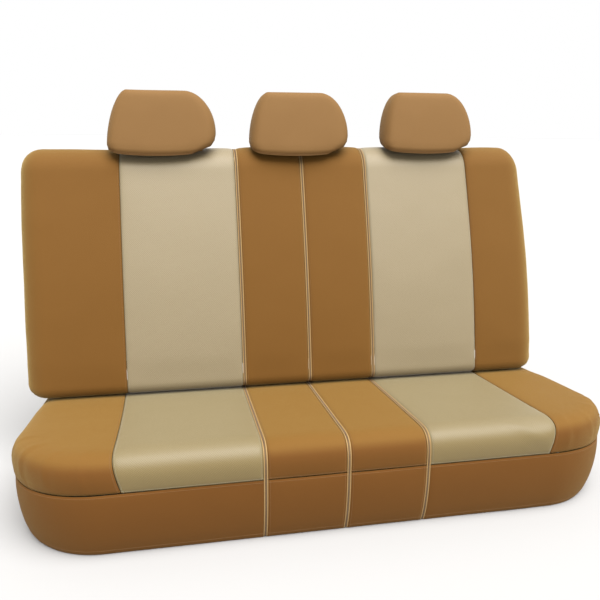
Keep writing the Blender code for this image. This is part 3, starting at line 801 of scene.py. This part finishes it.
def bench_rear():
    """The flat end behind; its edges end inside the thickness of the cloth round it."""
    inner = BENCH_EDGE - REAR_LAP
    full = 2 / SIDE_FULLNESS
    top = top_height(BENCH_REAR) - BENCH_EDGE
    shares = [(abs(sin(a)) ** full, abs(cos(a)) ** full) for a in np.linspace(0, pi / 2, 24)]
    left = [(-(BENCH_LEFT - BENCH_EDGE + inner * wide), top + inner * high) for wide, high in shares]
    right = [(BENCH_RIGHT - BENCH_EDGE + inner * wide, top + inner * high) for wide, high in shares]
    edge = [*reversed(left), *right]
    line = []
    for (x0, z0), (x1, z1) in zip(edge, edge[1:]):
        count = max(1, round(hypot(x1 - x0, z1 - z0) / 0.012))
        line += [(x0 + (x1 - x0) * n / count, z0 + (z1 - z0) * n / count) for n in range(count)]
    line.append(edge[-1])
    rows = []
    for down in steps_down():
        across = [MIDDLE_X + pulled_with_skirt(x, down) for x, _ in line]
        rows.append([(x, BENCH_REAR - REAR_IN, HEM_LIFT + z * (1 - down)) for x, (_, z) in zip(across, line)])
    cloth("bench_rear_panel", "bench_cover", REAR_CLOTH, np.array(rows, float), BENCH_HEART, ("low", "high"),
          {"high": HEM_ROW}, name="bench_rear_cloth", puff=0.001, tuck=0.001, slack=0.001)


# Backrest cover.

BACK_HIGH = SHOULDER + ROUND
LEFT_SAG = 0.010
RIGHT_TAPER = 0.012
CORNER_SAG = 0.010
DOWN = atan(UP.y / UP.z) - pi / 2  # straight down, as an angle from the through axis
REAR_SEWN = ("left", "right", "low")
REAR_PUFF = 0.0015


def on_foot(angle):
    return FOOT_ROLL * (1 + cos(angle)), FOOT_ROLL * sin(angle)


def on_top(angle):
    return ROUND * (1 + cos(angle)), SHOULDER + ROUND * sin(angle)


def face_path():
    """Foot roll, swelling face and half-round top, as through and up."""
    points = [on_foot(a) for a in np.linspace(DOWN, -pi, 40)]
    for share in np.linspace(0, 1, 200)[1:]:
        points.append((-BACK_CROWN * sin(pi * share), SHOULDER * share))
    points += [on_top(a) for a in np.linspace(pi, 0, 80)[1:]]
    return Path(points)


def rear_path():
    return Path([(REAR, SHOULDER - 2 * SEAM), (REAR, HEM_UP)])


def pulled_in(through, up, amount):
    spine = (ROUND, min(max(up, ROUND / 2), SHOULDER))
    away = hypot(spine[0] - through, spine[1] - up)
    return through + (spine[0] - through) * amount / away, up + (spine[1] - up) * amount / away


def on_cover(x, through, up):
    """A point of the backrest cover: its top hangs lower to the left and its right corner is rounder."""
    high = smooth(up / BACK_HIGH) ** 2
    sag = LEFT_SAG * smooth(-x / 0.40) + CORNER_SAG * max(0, (x - BACK_RIGHT) / 0.05 + 1) ** 2
    taper = RIGHT_TAPER * smooth((x - 0.35) / (BACK_RIGHT - 0.35))
    return tuple(on_back(x - taper * high, through, up - sag * high))


def back_grid(path, xs, downs, half=None):
    """A panel over the backrest; where half is given its outer edge rolls in towards the spine."""
    rows = []
    for d in downs:
        through, up = path.at(d)
        row = []
        for x in xs:
            drop = edge_drop(half - abs(x), BACK_EDGE) if half else 0
            row.append(on_cover(x, *pulled_in(through, up, drop)))
        rows.append(row)
    return np.array(rows, float)


def rolled_xs(start, half, mirror):
    """Places across an outer panel, close together where its edge rolls in."""
    flat = half - BACK_EDGE - start
    turn = BACK_EDGE * (pi / 2 - 0.012)
    return [mirror * (start + rolled_place(d, flat, BACK_EDGE)) for d in graded(0, flat + turn)]


def over_bight(grid):
    """The face lies flat where it rolls under, against the bench."""
    return np.clip(((grid - np.array(FACE)) @ np.array(UP) - 0.005) / 0.05, 0, 1)


def back_heart(x):
    return tuple(on_back(x, ROUND, SHOULDER / 2))


def back_sections():
    paths = {"face": face_path(), "rear": rear_path()}
    downs = {
        "face": graded(0, paths["face"].long - SEAM, 0.010, (False, True)),
        "rear": graded(0, paths["rear"].long, 0.014),
    }

    def lay(which, xs, half=None):
        return back_grid(paths[which], xs, downs[which], half)

    for (side, mirror), half in zip(SIDES, (BACK_LEFT, BACK_RIGHT)):
        back_outer(side, mirror, half, lay)
        gusset(side, mirror, half, paths["face"])
    body = "back_centre_section"
    heart = back_heart(0)
    for side, mirror in SIDES:
        xs = graded(*sorted((mirror * OPENING, mirror * (ZIP_X - OPENING))))
        cloth(f"back_{side}_middle_panel", body, BROWN, lay("face", xs), heart, SEWN, SIDE_ROWS,
              ease=over_bight)
        cloth(f"back_{side}_middle_rear_panel", body, REAR_CLOTH, lay("rear", xs), heart, REAR_SEWN,
              {"high": HEM_ROW, **SIDE_ROWS}, puff=REAR_PUFF)


def back_outer(side, mirror, half, lay):
    """A side section's mesh insert, its brown outer panel and its rear."""
    body = f"back_{side}_section"
    heart = back_heart(mirror * 0.4)
    start = ZIP_X + OPENING + 2 * SEAM
    xs = graded(*sorted((mirror * start, mirror * (INSERT_X - SEAM))))
    cloth(f"back_{side}_insert", body, BACK_MESH, lay("face", xs), heart, SEWN, SIDE_ROWS, ease=over_bight)
    xs = rolled_xs(INSERT_X + SEAM, half, mirror)
    cloth(f"back_{side}_outer_panel", body, BROWN, lay("face", xs, half), heart, SEWN, {"left": ROW},
          slack=0.0016, ease=over_bight)
    xs = rolled_xs(start, half, mirror)
    cloth(f"back_{side}_rear_panel", body, REAR_CLOTH, lay("rear", xs, half), heart, REAR_SEWN,
          {"high": HEM_ROW}, puff=REAR_PUFF)


GUSSET_IN = 0.0015  # the gusset's edges lie this far inside the rolled edges, and its face this far
GUSSET_UNDER = 0.0006


def gusset(side, mirror, half, face):
    """The flat end of the backrest cover, between the rolled edges of its face and its rear."""
    inset = BACK_EDGE + GUSSET_IN
    quarter = ROUND * pi / 2
    top = face.long - quarter  # the very top of the half round
    rear_long = quarter + SHOULDER - HEM_UP
    rows = []
    for share in graded(0, 0.985, 0.02, (False, False)):
        front = pulled_in(*face.at(top * share), inset)
        up_rear = rear_long * (1 - share)
        if up_rear < quarter:
            behind = on_top(pi / 2 - up_rear / ROUND)
        else:
            behind = (REAR, SHOULDER - (up_rear - quarter))
        behind = pulled_in(*behind, inset)
        row = []
        for t in np.linspace(0, 1, 9):
            through = front[0] + (behind[0] - front[0]) * t
            up = front[1] + (behind[1] - front[1]) * t
            row.append(on_cover(mirror * (half - GUSSET_UNDER), through, up))
        rows.append(row)
    heart = back_heart(mirror * 0.4)
    cloth(f"back_{side}_gusset", f"back_{side}_section", BROWN, np.array(rows, float), heart,
          ("left", "right"), puff=0.001, tuck=0.0015, slack=0.0004, pucker=0.0002)


# Headrest covers. The outline is wider at its foot, upright on the left and rounder on the right.

HEAD_HALF = (high("middle_headrest_front_panel").x - low("middle_headrest_front_panel").x) / 2
HEAD_SLIDE = Vector(joint("middle_headrest_slide")["pos_m"])
HEAD_FOOT = (HEAD_SLIDE - FACE).dot(UP)
HEAD_FACE = -0.018
HEAD_CLIMB = 0.68
HEAD_HIGH = 0.170
HEAD_DEEP = 0.090
HEAD_REAR = HEAD_FACE + HEAD_DEEP + 0.002
HEAD_ROLL = 0.020  # radius that rolls the face over into the sides and the top
HEAD_CROWN = 0.008  # how far the middle of the face stands out
HEAD_BULGE = 0.005  # how far the walls stand out
HEAD_UNDER = 0.003  # the face tucks back this much at its foot
HEAD_SAG = 0.004  # and hangs lower in the middle
HEAD_TAPER = 0.14  # how much narrower a headrest is at the rear
HEAD_LIFT = 0.009  # how far the hem stands above its lowest place
HEAD_FIT = {"left": (1.015, 0, 0), "middle": (0.985, 0.001, -0.002), "right": (0.955, 0.008, -0.003)}
HEAD_WAIST = 0.32  # share of the height where the round side is widest
HEAD_HEEL = 0.08  # share of the height over which the upright side's foot is rounded
HEM_BAND = 0.012
HEM_SHOWN = 0.003  # the part of the band that is not turned under


def head_left(share):
    """The upright side of the outline, in half widths, by the share of its height; its foot is rounded."""
    foot = max(1 - share / HEAD_HEEL, 0)
    return -0.61 - 0.39 * (1 - share**1.8) ** (1 / 1.8) + 0.05 * (1 - sqrt(1 - foot**2))


def head_right(share):
    """The round side, widest at HEAD_WAIST of the height."""
    if share > HEAD_WAIST:
        return 0.44 + 0.56 * sqrt(max(1 - ((share - HEAD_WAIST) / (1 - HEAD_WAIST)) ** 2, 0))
    return 0.44 + 0.56 * (1 - 0.9 * ((HEAD_WAIST - share) / HEAD_WAIST) ** 2.5) ** 0.4


def head_across(p, q):
    """The place across a headrest, by p from -1 to 1 across and q from 0 to 1 up."""
    left, right = head_left(q), head_right(q)
    return (left + (right - left) * (p + 1) / 2) * HEAD_HALF


def head_point(x, across, high_up, through):
    """A point of a headrest; its hem climbs to the rear, clear of the backrest's top."""
    foot = HEAD_LIFT + HEAD_CLIMB * (through - HEAD_FACE)
    up = HEAD_FOOT + foot + high_up * (HEAD_HIGH - foot) / HEAD_HIGH
    return tuple(on_back(x + across, through, up))


def head_outline():
    """The outline up one side, over the top and down the other, without the foot."""
    shares = 1 - np.linspace(0, 1, 60) ** 2
    left = [(head_left(share) * HEAD_HALF, share * HEAD_HIGH) for share in reversed(shares)]
    right = [(head_right(share) * HEAD_HALF, share * HEAD_HIGH) for share in shares]
    return np.array(left + right)


HEAD_OUTLINE = head_outline()


def inside_outline(across, high_up):
    """How far a point of the face lies inside the outline."""
    starts, steps = HEAD_OUTLINE[:-1], np.diff(HEAD_OUTLINE, axis=0)
    away = np.array((across, high_up)) - starts
    share = np.clip((away * steps).sum(axis=1) / np.maximum((steps**2).sum(axis=1), 1e-12), 0, 1)
    return float(np.linalg.norm(away - steps * share[:, None], axis=1).min())


def head_surface(x, p, q, shrink=0.0):
    """p from -1 to 1 across and q from 0 to 1 up the face; past 1 they run back along the walls."""
    most = max(abs(p), q, 1)
    p, q = p / most, q / most
    across = head_across(p, q)
    inside = 0 if most > 1 or abs(p) == 1 or q == 1 else inside_outline(across, q * HEAD_HIGH)
    behind = (most - 1) / (HEAD_DEEP - HEAD_ROLL)
    bulge = HEAD_BULGE * sin(pi * min(behind, 1)) if most > 1 else 0
    across = across * (1 - shrink) * (1 - HEAD_TAPER * behind**1.5) + bulge * p * abs(p)
    crown = HEAD_CROWN * (1 - exp(-inside / HEAD_ROLL)) * (1 - 0.5 * p * p)
    under = HEAD_UNDER * max(0, 1 - q / 0.10) ** 2
    through = HEAD_FACE + edge_drop(inside, HEAD_ROLL) - crown + under + (most - 1) + shrink * HEAD_DEEP / 2
    sag = HEAD_SAG * (1 - p * p) * max(0, 1 - q / 0.3)
    return head_point(x, across, q * HEAD_HIGH - sag + bulge * q * q, through)


def head_rear_point(x, p, q, shrink=0.0):
    across = head_across(p, q) * (1 - shrink) * (1 - HEAD_TAPER)
    return head_point(x, across, q * HEAD_HIGH, HEAD_REAR - shrink * HEAD_DEEP / 2)


def fitted(rows, x, side):
    """A cover sits a little wider or narrower, higher or further in, as each headrest fills it."""
    wide, lift, aside = HEAD_FIT[side]
    middle = MIDDLE_X + x
    moved = np.array(rows, float) + np.array(UP) * lift
    moved[..., 0] = middle + aside + (moved[..., 0] - middle) * wide
    return moved


def headrests():
    """Three covers, each of a face that runs back along the walls, a rear and an elastic band."""
    wall = HEAD_DEEP - HEAD_ROLL
    bends = [sin(a) for a in np.linspace(0, pi / 2, 19)]
    along_wall = [1 + d for d in graded(0, wall, 0.008, (False, True))[1:]]
    right = bends + along_wall
    ps = [-p for p in reversed(right[1:])] + right
    low_q = (HEM_SHOWN + SEAM) / HEAD_HIGH
    qs = [low_q + (1 - low_q) * b for b in bends] + along_wall
    rear_qs = [low_q + (1 - low_q) * n / 18 for n in range(19)]
    for side, x in (("left", -HEAD_X), ("middle", 0), ("right", HEAD_X)):
        body = f"{side}_headrest_cover"
        heart = tuple(on_back(x, HEAD_FACE + HEAD_DEEP / 2, HEAD_FOOT + HEAD_HIGH * 0.4))
        grid = fitted([[head_surface(x, p, q) for p in ps] for q in qs], x, side)
        streak = crease(head_surface(x, -0.66, 0.78), head_surface(x, -0.80, 0.2), 0.008, 0.0011)
        cloth(f"{side}_headrest_front_panel", body, TAN, grid, heart, ALL_ROUND, {"low": HEAD_ROW},
              puff=0.001, tuck=0.0012, slack=0.0012, pucker=0.0003, creases=(streak,))
        grid = fitted([[head_rear_point(x, p, q) for p in np.linspace(-1, 1, 33)] for q in rear_qs], x, side)
        cloth(f"{side}_headrest_rear_panel", body, TAN, grid, heart, ALL_ROUND,
              puff=0.004, tuck=0.001, slack=0.0008)
        head_band(side, x, body, ps, low_q, heart)


def head_band(side, x, body, ps, low_q, heart):
    """The elastic band round the mouth, gathered into small ribs and turned under."""
    rears = np.linspace(0.97, -0.97, 30)
    rows = []
    for share in np.linspace(0, 1, 8):
        q = max(low_q * (1 - share) - SEAM, 0)
        shrink = (HEM_BAND - HEM_SHOWN) / HEAD_HALF * smooth(share)
        row = [head_surface(x, p, q, shrink) for p in ps]
        row += [head_rear_point(x, p, q, shrink) for p in rears]
        rows.append(row + row[:1])
    coarse = fitted(rows, x, side)
    longs = runs(coarse[:1], 1)[0]
    fine = np.linspace(0, longs[-1], 300)
    grid = np.array([[[np.interp(d, longs, row[:, k]) for k in range(3)] for d in fine] for row in coarse])
    out = normals(grid, heart)
    shares = np.linspace(0, 1, 8)[:, None]
    ribs = np.sin(fine / 0.0052 * 2 * pi + 2 * wander(grid, 0.05, 9))
    grid = grid + out * ((0.0007 * ribs * shares) + 0.0010 * np.sin(pi * shares) - 0.0009)[..., None]
    grid[:, -1] = grid[:, 0]
    node = f"{side}_headrest_hem_band"
    made = grid_mesh(f"{node}_cloth", grid, runs(grid, 1), runs(grid, 0), heart)
    join = made.modifiers.new("join", "WELD")
    join.merge_threshold = 0.00005
    made.data.materials.append(TAN)
    thicken(made, "cloth", 0.0028)
    belong(made, body, node)


# Zips: two tapes sewn under the panels' edges, and the teeth between them.

# Half of the tapes' profile, from the fabric inwards: place across, and height over the tape's line.
TAPE_HALF = (
    (OPENING - 0.0001, -0.0002),
    (0.0037, 0.0004),
    (0.0030, 0.0005),
    (0.0024, 0.0001),
    (0.0021, -0.0009),
)


def sunk(points, heart, depth):
    """The line of a Y-Z path moved towards the heart by depth."""
    way = np.gradient(points, axis=0)
    side = np.stack([way[:, 1], -way[:, 0]], axis=1)
    side /= np.linalg.norm(side, axis=1, keepdims=True)
    if float((side * (np.array(heart)[1:] - points)).sum()) < 0:
        side = -side
    return points + side * depth, -side


def zip_fastener(name, body, x, points, heart):
    path = Path(points)
    places = np.linspace(0, path.long, int(path.long / ZIP_STEP))
    line, out = sunk(np.array([path.at(d) for d in places]), heart, TAPE_DEPTH)
    profile = [(-a, h) for a, h in TAPE_HALF] + [(a, h) for a, h in reversed(TAPE_HALF)]
    grid = np.array([[(MIDDLE_X + x + a, *(at + way * h)) for a, h in profile] for at, way in zip(line, out)])
    made = grid_mesh(f"{name}_tape", grid, runs(grid, 1), runs(grid, 0), heart)
    made.data.materials.append(TAPE)
    thicken(made, "tape", 0.0009)
    belong(made, body, name)
    teeth = Studs()
    across = Vector((1, 0, 0))
    whole = np.array([(MIDDLE_X + x, y, z) for y, z in line])
    for number, (middle, way, k, _) in enumerate(walk(whole, TOOTH_STEP)):
        up = Vector((0, *out[k]))
        shift = across * (TOOTH_SHIFT if number % 2 else -TOOTH_SHIFT)
        teeth.put(middle + shift - up * TOOTH_SUNK, across, way, up, *TOOTH)
    teeth.finish(f"{name}_teeth", body, "zip_tape", COIL)


def zips():
    seam_z = top_height(BENCH_FRONT) - BENCH_EDGE
    over = [tuple(p) for p in bench_path().points]
    downs = np.linspace(0, 1, 24)[1:]
    over += [(BENCH_FRONT + skirt_in(down), max(seam_z * (1 - down), 0.0012)) for down in downs]
    for side, x in (("left", -ZIP_X), ("middle", 0), ("right", ZIP_X)):
        zip_fastener(f"bench_{side}_zip", "bench_cover", x, over, BENCH_HEART)
        round_back = [on_cover(x, *p)[1:] for p in [*face_path().points, *rear_path().points[1:]]]
        zip_fastener(f"back_{side}_zip", "back_centre_section", x, round_back, back_heart(0))


# Small hard parts.


class Kit:
    """Plates and rods gathered into one mesh, drawn along three ways from a place."""

    def __init__(self, place, ways):
        self.frame = Matrix.Translation(place) @ Matrix(ways).transposed().to_4x4()
        self.mesh = bmesh.new()

    def keep(self, curve, lift):
        thing = bpy.data.objects.new(curve.name, curve)
        mesh = bpy.data.meshes.new_from_object(thing)
        mesh.transform(self.frame @ Matrix.Translation((0, 0, lift)))
        self.mesh.from_mesh(mesh)
        bpy.data.objects.remove(thing)
        bpy.data.meshes.remove(mesh)
        bpy.data.curves.remove(curve)

    def plate(self, outlines, bottom, top, bevel):
        """A flat plate: its outline, and any holes, in the first two ways."""
        curve = bpy.data.curves.new("plate", "CURVE")
        curve.dimensions = "2D"
        curve.fill_mode = "BOTH"
        curve.extrude = (top - bottom) / 2 - bevel
        curve.bevel_depth = bevel
        curve.bevel_resolution = 2
        curve.offset = -bevel
        for outline in outlines:
            spline = curve.splines.new("POLY")
            spline.points.add(len(outline) - 1)
            for point, (a, b) in zip(spline.points, outline):
                point.co = (a, b, 0, 1)
            spline.use_cyclic_u = True
        self.keep(curve, (bottom + top) / 2)

    def rod(self, points, radius):
        curve = bpy.data.curves.new("rod", "CURVE")
        curve.dimensions = "3D"
        curve.bevel_depth = radius
        curve.bevel_resolution = 3
        curve.use_fill_caps = True
        spline = curve.splines.new("POLY")
        spline.points.add(len(points) - 1)
        for point, at in zip(spline.points, points):
            point.co = (*at, 1)
        self.keep(curve, 0)

    def finish(self, name, node, body, slot, material):
        bmesh.ops.remove_doubles(self.mesh, verts=self.mesh.verts, dist=0.000005)
        bmesh.ops.recalc_face_normals(self.mesh, faces=self.mesh.faces)
        mesh = bpy.data.meshes.new(name)
        self.mesh.to_mesh(mesh)
        self.mesh.free()
        mesh.shade_smooth()
        mesh.set_sharp_from_angle(angle=radians(40))
        mesh.materials.append(material)
        belong(linked(name, mesh), body, node)


def rounded(wide, long, radius, middle=(0, 0)):
    """A rectangle with round corners, as points."""
    points = []
    for number, (a, b) in enumerate(((1, 1), (-1, 1), (-1, -1), (1, -1))):
        x, y = middle[0] + a * (wide / 2 - radius), middle[1] + b * (long / 2 - radius)
        for turn in np.linspace(number * pi / 2, (number + 1) * pi / 2, 6):
            points.append((x + radius * cos(turn), y + radius * sin(turn)))
    return points


def zip_slider(name):
    """Two plates joined by a post, a bridge over them, and a tab with a slot that trails behind."""
    slide = joint(f"{name[:-len('_slider')]}_slide")
    along = Vector(slide["axis"]).normalized()
    across = Vector((-1, 0, 0))
    kit = Kit(Vector(slide["pos_m"]), (across, along, across.cross(along)))
    right = [(0.0026, -0.0066), (0.0034, -0.002), (0.0037, 0.003), (0.0034, 0.0058), (0.0018, 0.0068)]
    shield = right + [(-a, b) for a, b in reversed(right)]
    kit.plate([shield], 0.0004, 0.0013, 0.0003)
    kit.plate([shield], -0.0029, -0.0021, 0.0003)
    kit.plate([rounded(0.0012, 0.0024, 0.0005, (0, 0.0052))], -0.0022, 0.0005, 0.0002)
    bridge = [(0, 0.0046 * cos(a), 0.0011 + 0.0013 * sin(a)) for a in np.linspace(0, pi, 13)]
    kit.rod(bridge, 0.0005)
    tab = rounded(0.0056, 0.0270, 0.0025, (0, -0.0156))
    slot = rounded(0.0030, 0.0052, 0.0014, (0, -0.0056))
    grip = rounded(0.0022, 0.0100, 0.0010, (0, -0.0210))
    kit.plate([tab, slot, grip], 0.0015, 0.0025, 0.0003)
    kit.finish(f"{name}_metal", name, name, "zip_metal", BRASS)


STRAP_HALF = 0.0125
STRAP_BEND = 0.006
STRAP_SEWN = 0.022  # the straps' ends reach this far up inside the hem


def strap_line(points):
    """A Y-Z line with its corner rounded."""
    a, b, c = (Vector(p) for p in points)
    first, last = b + (a - b).normalized() * STRAP_BEND, b + (c - b).normalized() * STRAP_BEND
    bend = [first.lerp(b, t).lerp(b.lerp(last, t), t) for t in np.linspace(0, 1, 8)]
    return [tuple(p) for p in (a, *bend, c)]


def strap(node, x, points):
    """Ribbed elastic webbing along a Y-Z line."""
    path = Path(points)
    xs = x - MIDDLE_X + np.linspace(-STRAP_HALF, STRAP_HALF, 15)
    grid = ribbon_grid(path, xs, np.linspace(0, path.long, int(path.long / 0.003)))
    heart = (x, 0, 0.08)
    out = normals(grid, heart)
    ribs = 0.00018 * np.cos(np.linspace(-7, 7, 15) * pi)[None, :, None]
    made = grid_mesh(f"{node}_webbing", grid + out * ribs, runs(grid, 1), runs(grid, 0), heart)
    made.data.materials.append(WEBBING)
    thicken(made, "webbing", 0.0013, offset=0)
    belong(made, "bench_cover", node)


def bench_straps():
    """Two elastic straps under the bench, sewn inside the hem at both ends and closed with a buckle."""
    for side in ("left", "right"):
        front, rear = f"bench_{side}_strap_front", f"bench_{side}_strap_rear"
        socket, plug = f"bench_{side}_buckle_socket", f"bench_{side}_buckle_plug"
        x = (low(front).x + high(front).x) / 2
        level = (low(front).z + high(front).z) / 2
        sewn = level + STRAP_SEWN
        inside = low(front).y - 0.0005
        strap(front, x, strap_line([(inside - 0.001, sewn), (inside, level), (high(front).y, level)]))
        inside = high(rear).y + 0.0005
        strap(rear, x, strap_line([(inside, sewn), (inside, level), (low(rear).y, level)]))
        buckle_socket(socket, x, level)
        buckle_plug(plug, x, level)


def kit_on(node, x, level):
    middle = (low(node).y + high(node).y) / 2
    return Kit(Vector((x, middle, level)), (Vector((1, 0, 0)), Vector((0, 1, 0)), Vector((0, 0, 1))))


def buckle_socket(node, x, level):
    """Two shells with open sides for the prongs, and a bar for the webbing."""
    kit = kit_on(node, x, level)
    shell = rounded(0.033, 0.035, 0.005)
    slot = rounded(0.0262, 0.0036, 0.0012, (0, -0.0138))
    kit.plate([shell, slot], 0.0022, 0.0045, 0.0008)
    kit.plate([shell, slot], -0.0045, -0.0022, 0.0008)
    between = [(0.0246, 0.0030, 0.0008, (0, -0.0090))]
    for side in (-1, 1):
        between.append((0.0040, 0.0100, 0.0008, (side * 0.0143, -0.0122)))
        between.append((0.0030, 0.0050, 0.0008, (side * 0.0146, 0.0142)))
    for block in between:
        kit.plate([rounded(*block)], -0.0021, 0.0021, 0.0003)
    kit.finish(f"{node}_moulding", node, "bench_cover", "buckle_plastic", BUCKLE)


def buckle_plug(node, x, level):
    """A flange with two bars for the webbing."""
    kit = kit_on(node, x, level)
    flange = rounded(0.033, 0.0192, 0.004)
    slots = [rounded(0.0262, 0.0030, 0.0012, (0, at)) for at in (0.0005, 0.0060)]
    kit.plate([flange, *slots], -0.0030, 0.0030, 0.0008)
    kit.finish(f"{node}_moulding", node, "bench_cover", "buckle_plastic", BUCKLE)


# What closes the backrest sections: hook-and-loop strips inside the rear hems, and flaps under the foot.

SECTIONS = {
    "back_left": "back_left_section",
    "back_left_middle": "back_centre_section",
    "back_middle": "back_centre_section",
    "back_right_middle": "back_centre_section",
    "back_right": "back_right_section",
}


def across_node(node, path, count):
    """A grid as wide as a CAD node, and its heart."""
    xs = graded(low(node).x - MIDDLE_X, high(node).x - MIDDLE_X, 0.012)
    return back_grid(path, xs, np.linspace(0, path.long, count)), back_heart((xs[0] + xs[-1]) / 2)


def back_closures():
    lean = atan(UP.y / UP.z)
    grip = Path([(REAR - 0.0060, HEM_UP + 0.024), (REAR - 0.0060, HEM_UP + 0.004)])
    start = on_foot(DOWN)
    flap = Path([(start[0] + d * cos(lean), start[1] + d * sin(lean)) for d in (SEAM, TUCK)])
    for place in ("back_left", "back_left_middle", "back_right_middle", "back_right"):
        node = f"{place}_grip_strip"
        cloth(node, SECTIONS[place], GRIP, *across_node(node, grip, 9), ("low", "high"),
              {"low": GRIP_ROW, "high": GRIP_ROW}, name=f"{node}_tape", lining=GRIP, thick=0.0013,
              sheet=False, puff=0.0004, tuck=0.0003, slack=0.0004, pucker=0.0002)
    for place in ("back_left", "back_middle", "back_right"):
        node = f"{place}_tuck_flap"
        cloth(node, SECTIONS[place], REAR_CLOTH, *across_node(node, flap, 11), (), lining=REAR_CLOTH,
              thick=0.0016, puff=0, tuck=0, slack=0.0009)


bench_cover()
back_sections()
headrests()
zips()
bench_straps()
back_closures()
for place in ("bench", "back"):
    for side in ("left", "middle", "right"):
        zip_slider(f"{place}_{side}_zip_slider")
sew_threads()


# Stage, light and camera.

SUN_POWER = 7.7
SUN_SPREAD = radians(60)
SUN_FORWARD = radians(24)  # of overhead
SUN_ASIDE = radians(8)  # to the right
FLOOR_WIDE = 240
FLOOR_SHADE = (0.325, 0.32, 0.315)
EYE = (-0.306, -1.389, 0.7825)
EYE_TURN = (10.88, 14.98, 0.55)  # degrees to the right, down and over
LENS = 37.2


def stage():
    """A pale floor under a white room, and one wide soft light overhead, in front and to the right."""
    bpy.ops.mesh.primitive_plane_add(size=FLOOR_WIDE, location=(0, 0, 0))
    floor = bpy.context.object
    floor.name = "floor"
    made, _, shader = nodes_of("pale floor")
    shader.inputs["Base Color"].default_value = (*FLOOR_SHADE, 1)
    shader.inputs["Roughness"].default_value = 0.9
    shader.inputs["Specular IOR Level"].default_value = 0.1
    floor.data.materials.append(made)
    world = bpy.data.worlds.new("studio")
    world.use_nodes = True
    white = world.node_tree.nodes["Background"]
    white.inputs["Color"].default_value = (1, 1, 1, 1)
    white.inputs["Strength"].default_value = 1.0
    bpy.context.scene.world = world
    light = bpy.data.lights.new("overhead", "SUN")
    light.energy = SUN_POWER
    light.angle = SUN_SPREAD
    linked("overhead", light).rotation_euler = (SUN_FORWARD, SUN_ASIDE, 0)
    bpy.context.scene.view_settings.view_transform = "Standard"


def camera():
    """The picture's own view: a little to the left of the middle and above, turned to the right."""
    yaw, pitch, roll = (radians(a) for a in EYE_TURN)
    ahead = Vector((sin(yaw) * cos(pitch), cos(yaw) * cos(pitch), -sin(pitch)))
    level = Vector((cos(yaw), -sin(yaw), 0))
    above = level.cross(ahead)
    right = level * cos(roll) + above * sin(roll)
    top = above * cos(roll) - level * sin(roll)
    lens = bpy.data.cameras.new("view")
    lens.sensor_width = 36
    lens.lens = LENS
    eye = linked("view", lens)
    turn = Matrix((right, top, -ahead)).transposed().to_4x4()
    eye.matrix_world = Matrix.Translation((MIDDLE_X + EYE[0], EYE[1], EYE[2])) @ turn
    bpy.context.scene.camera = eye


stage()
camera()
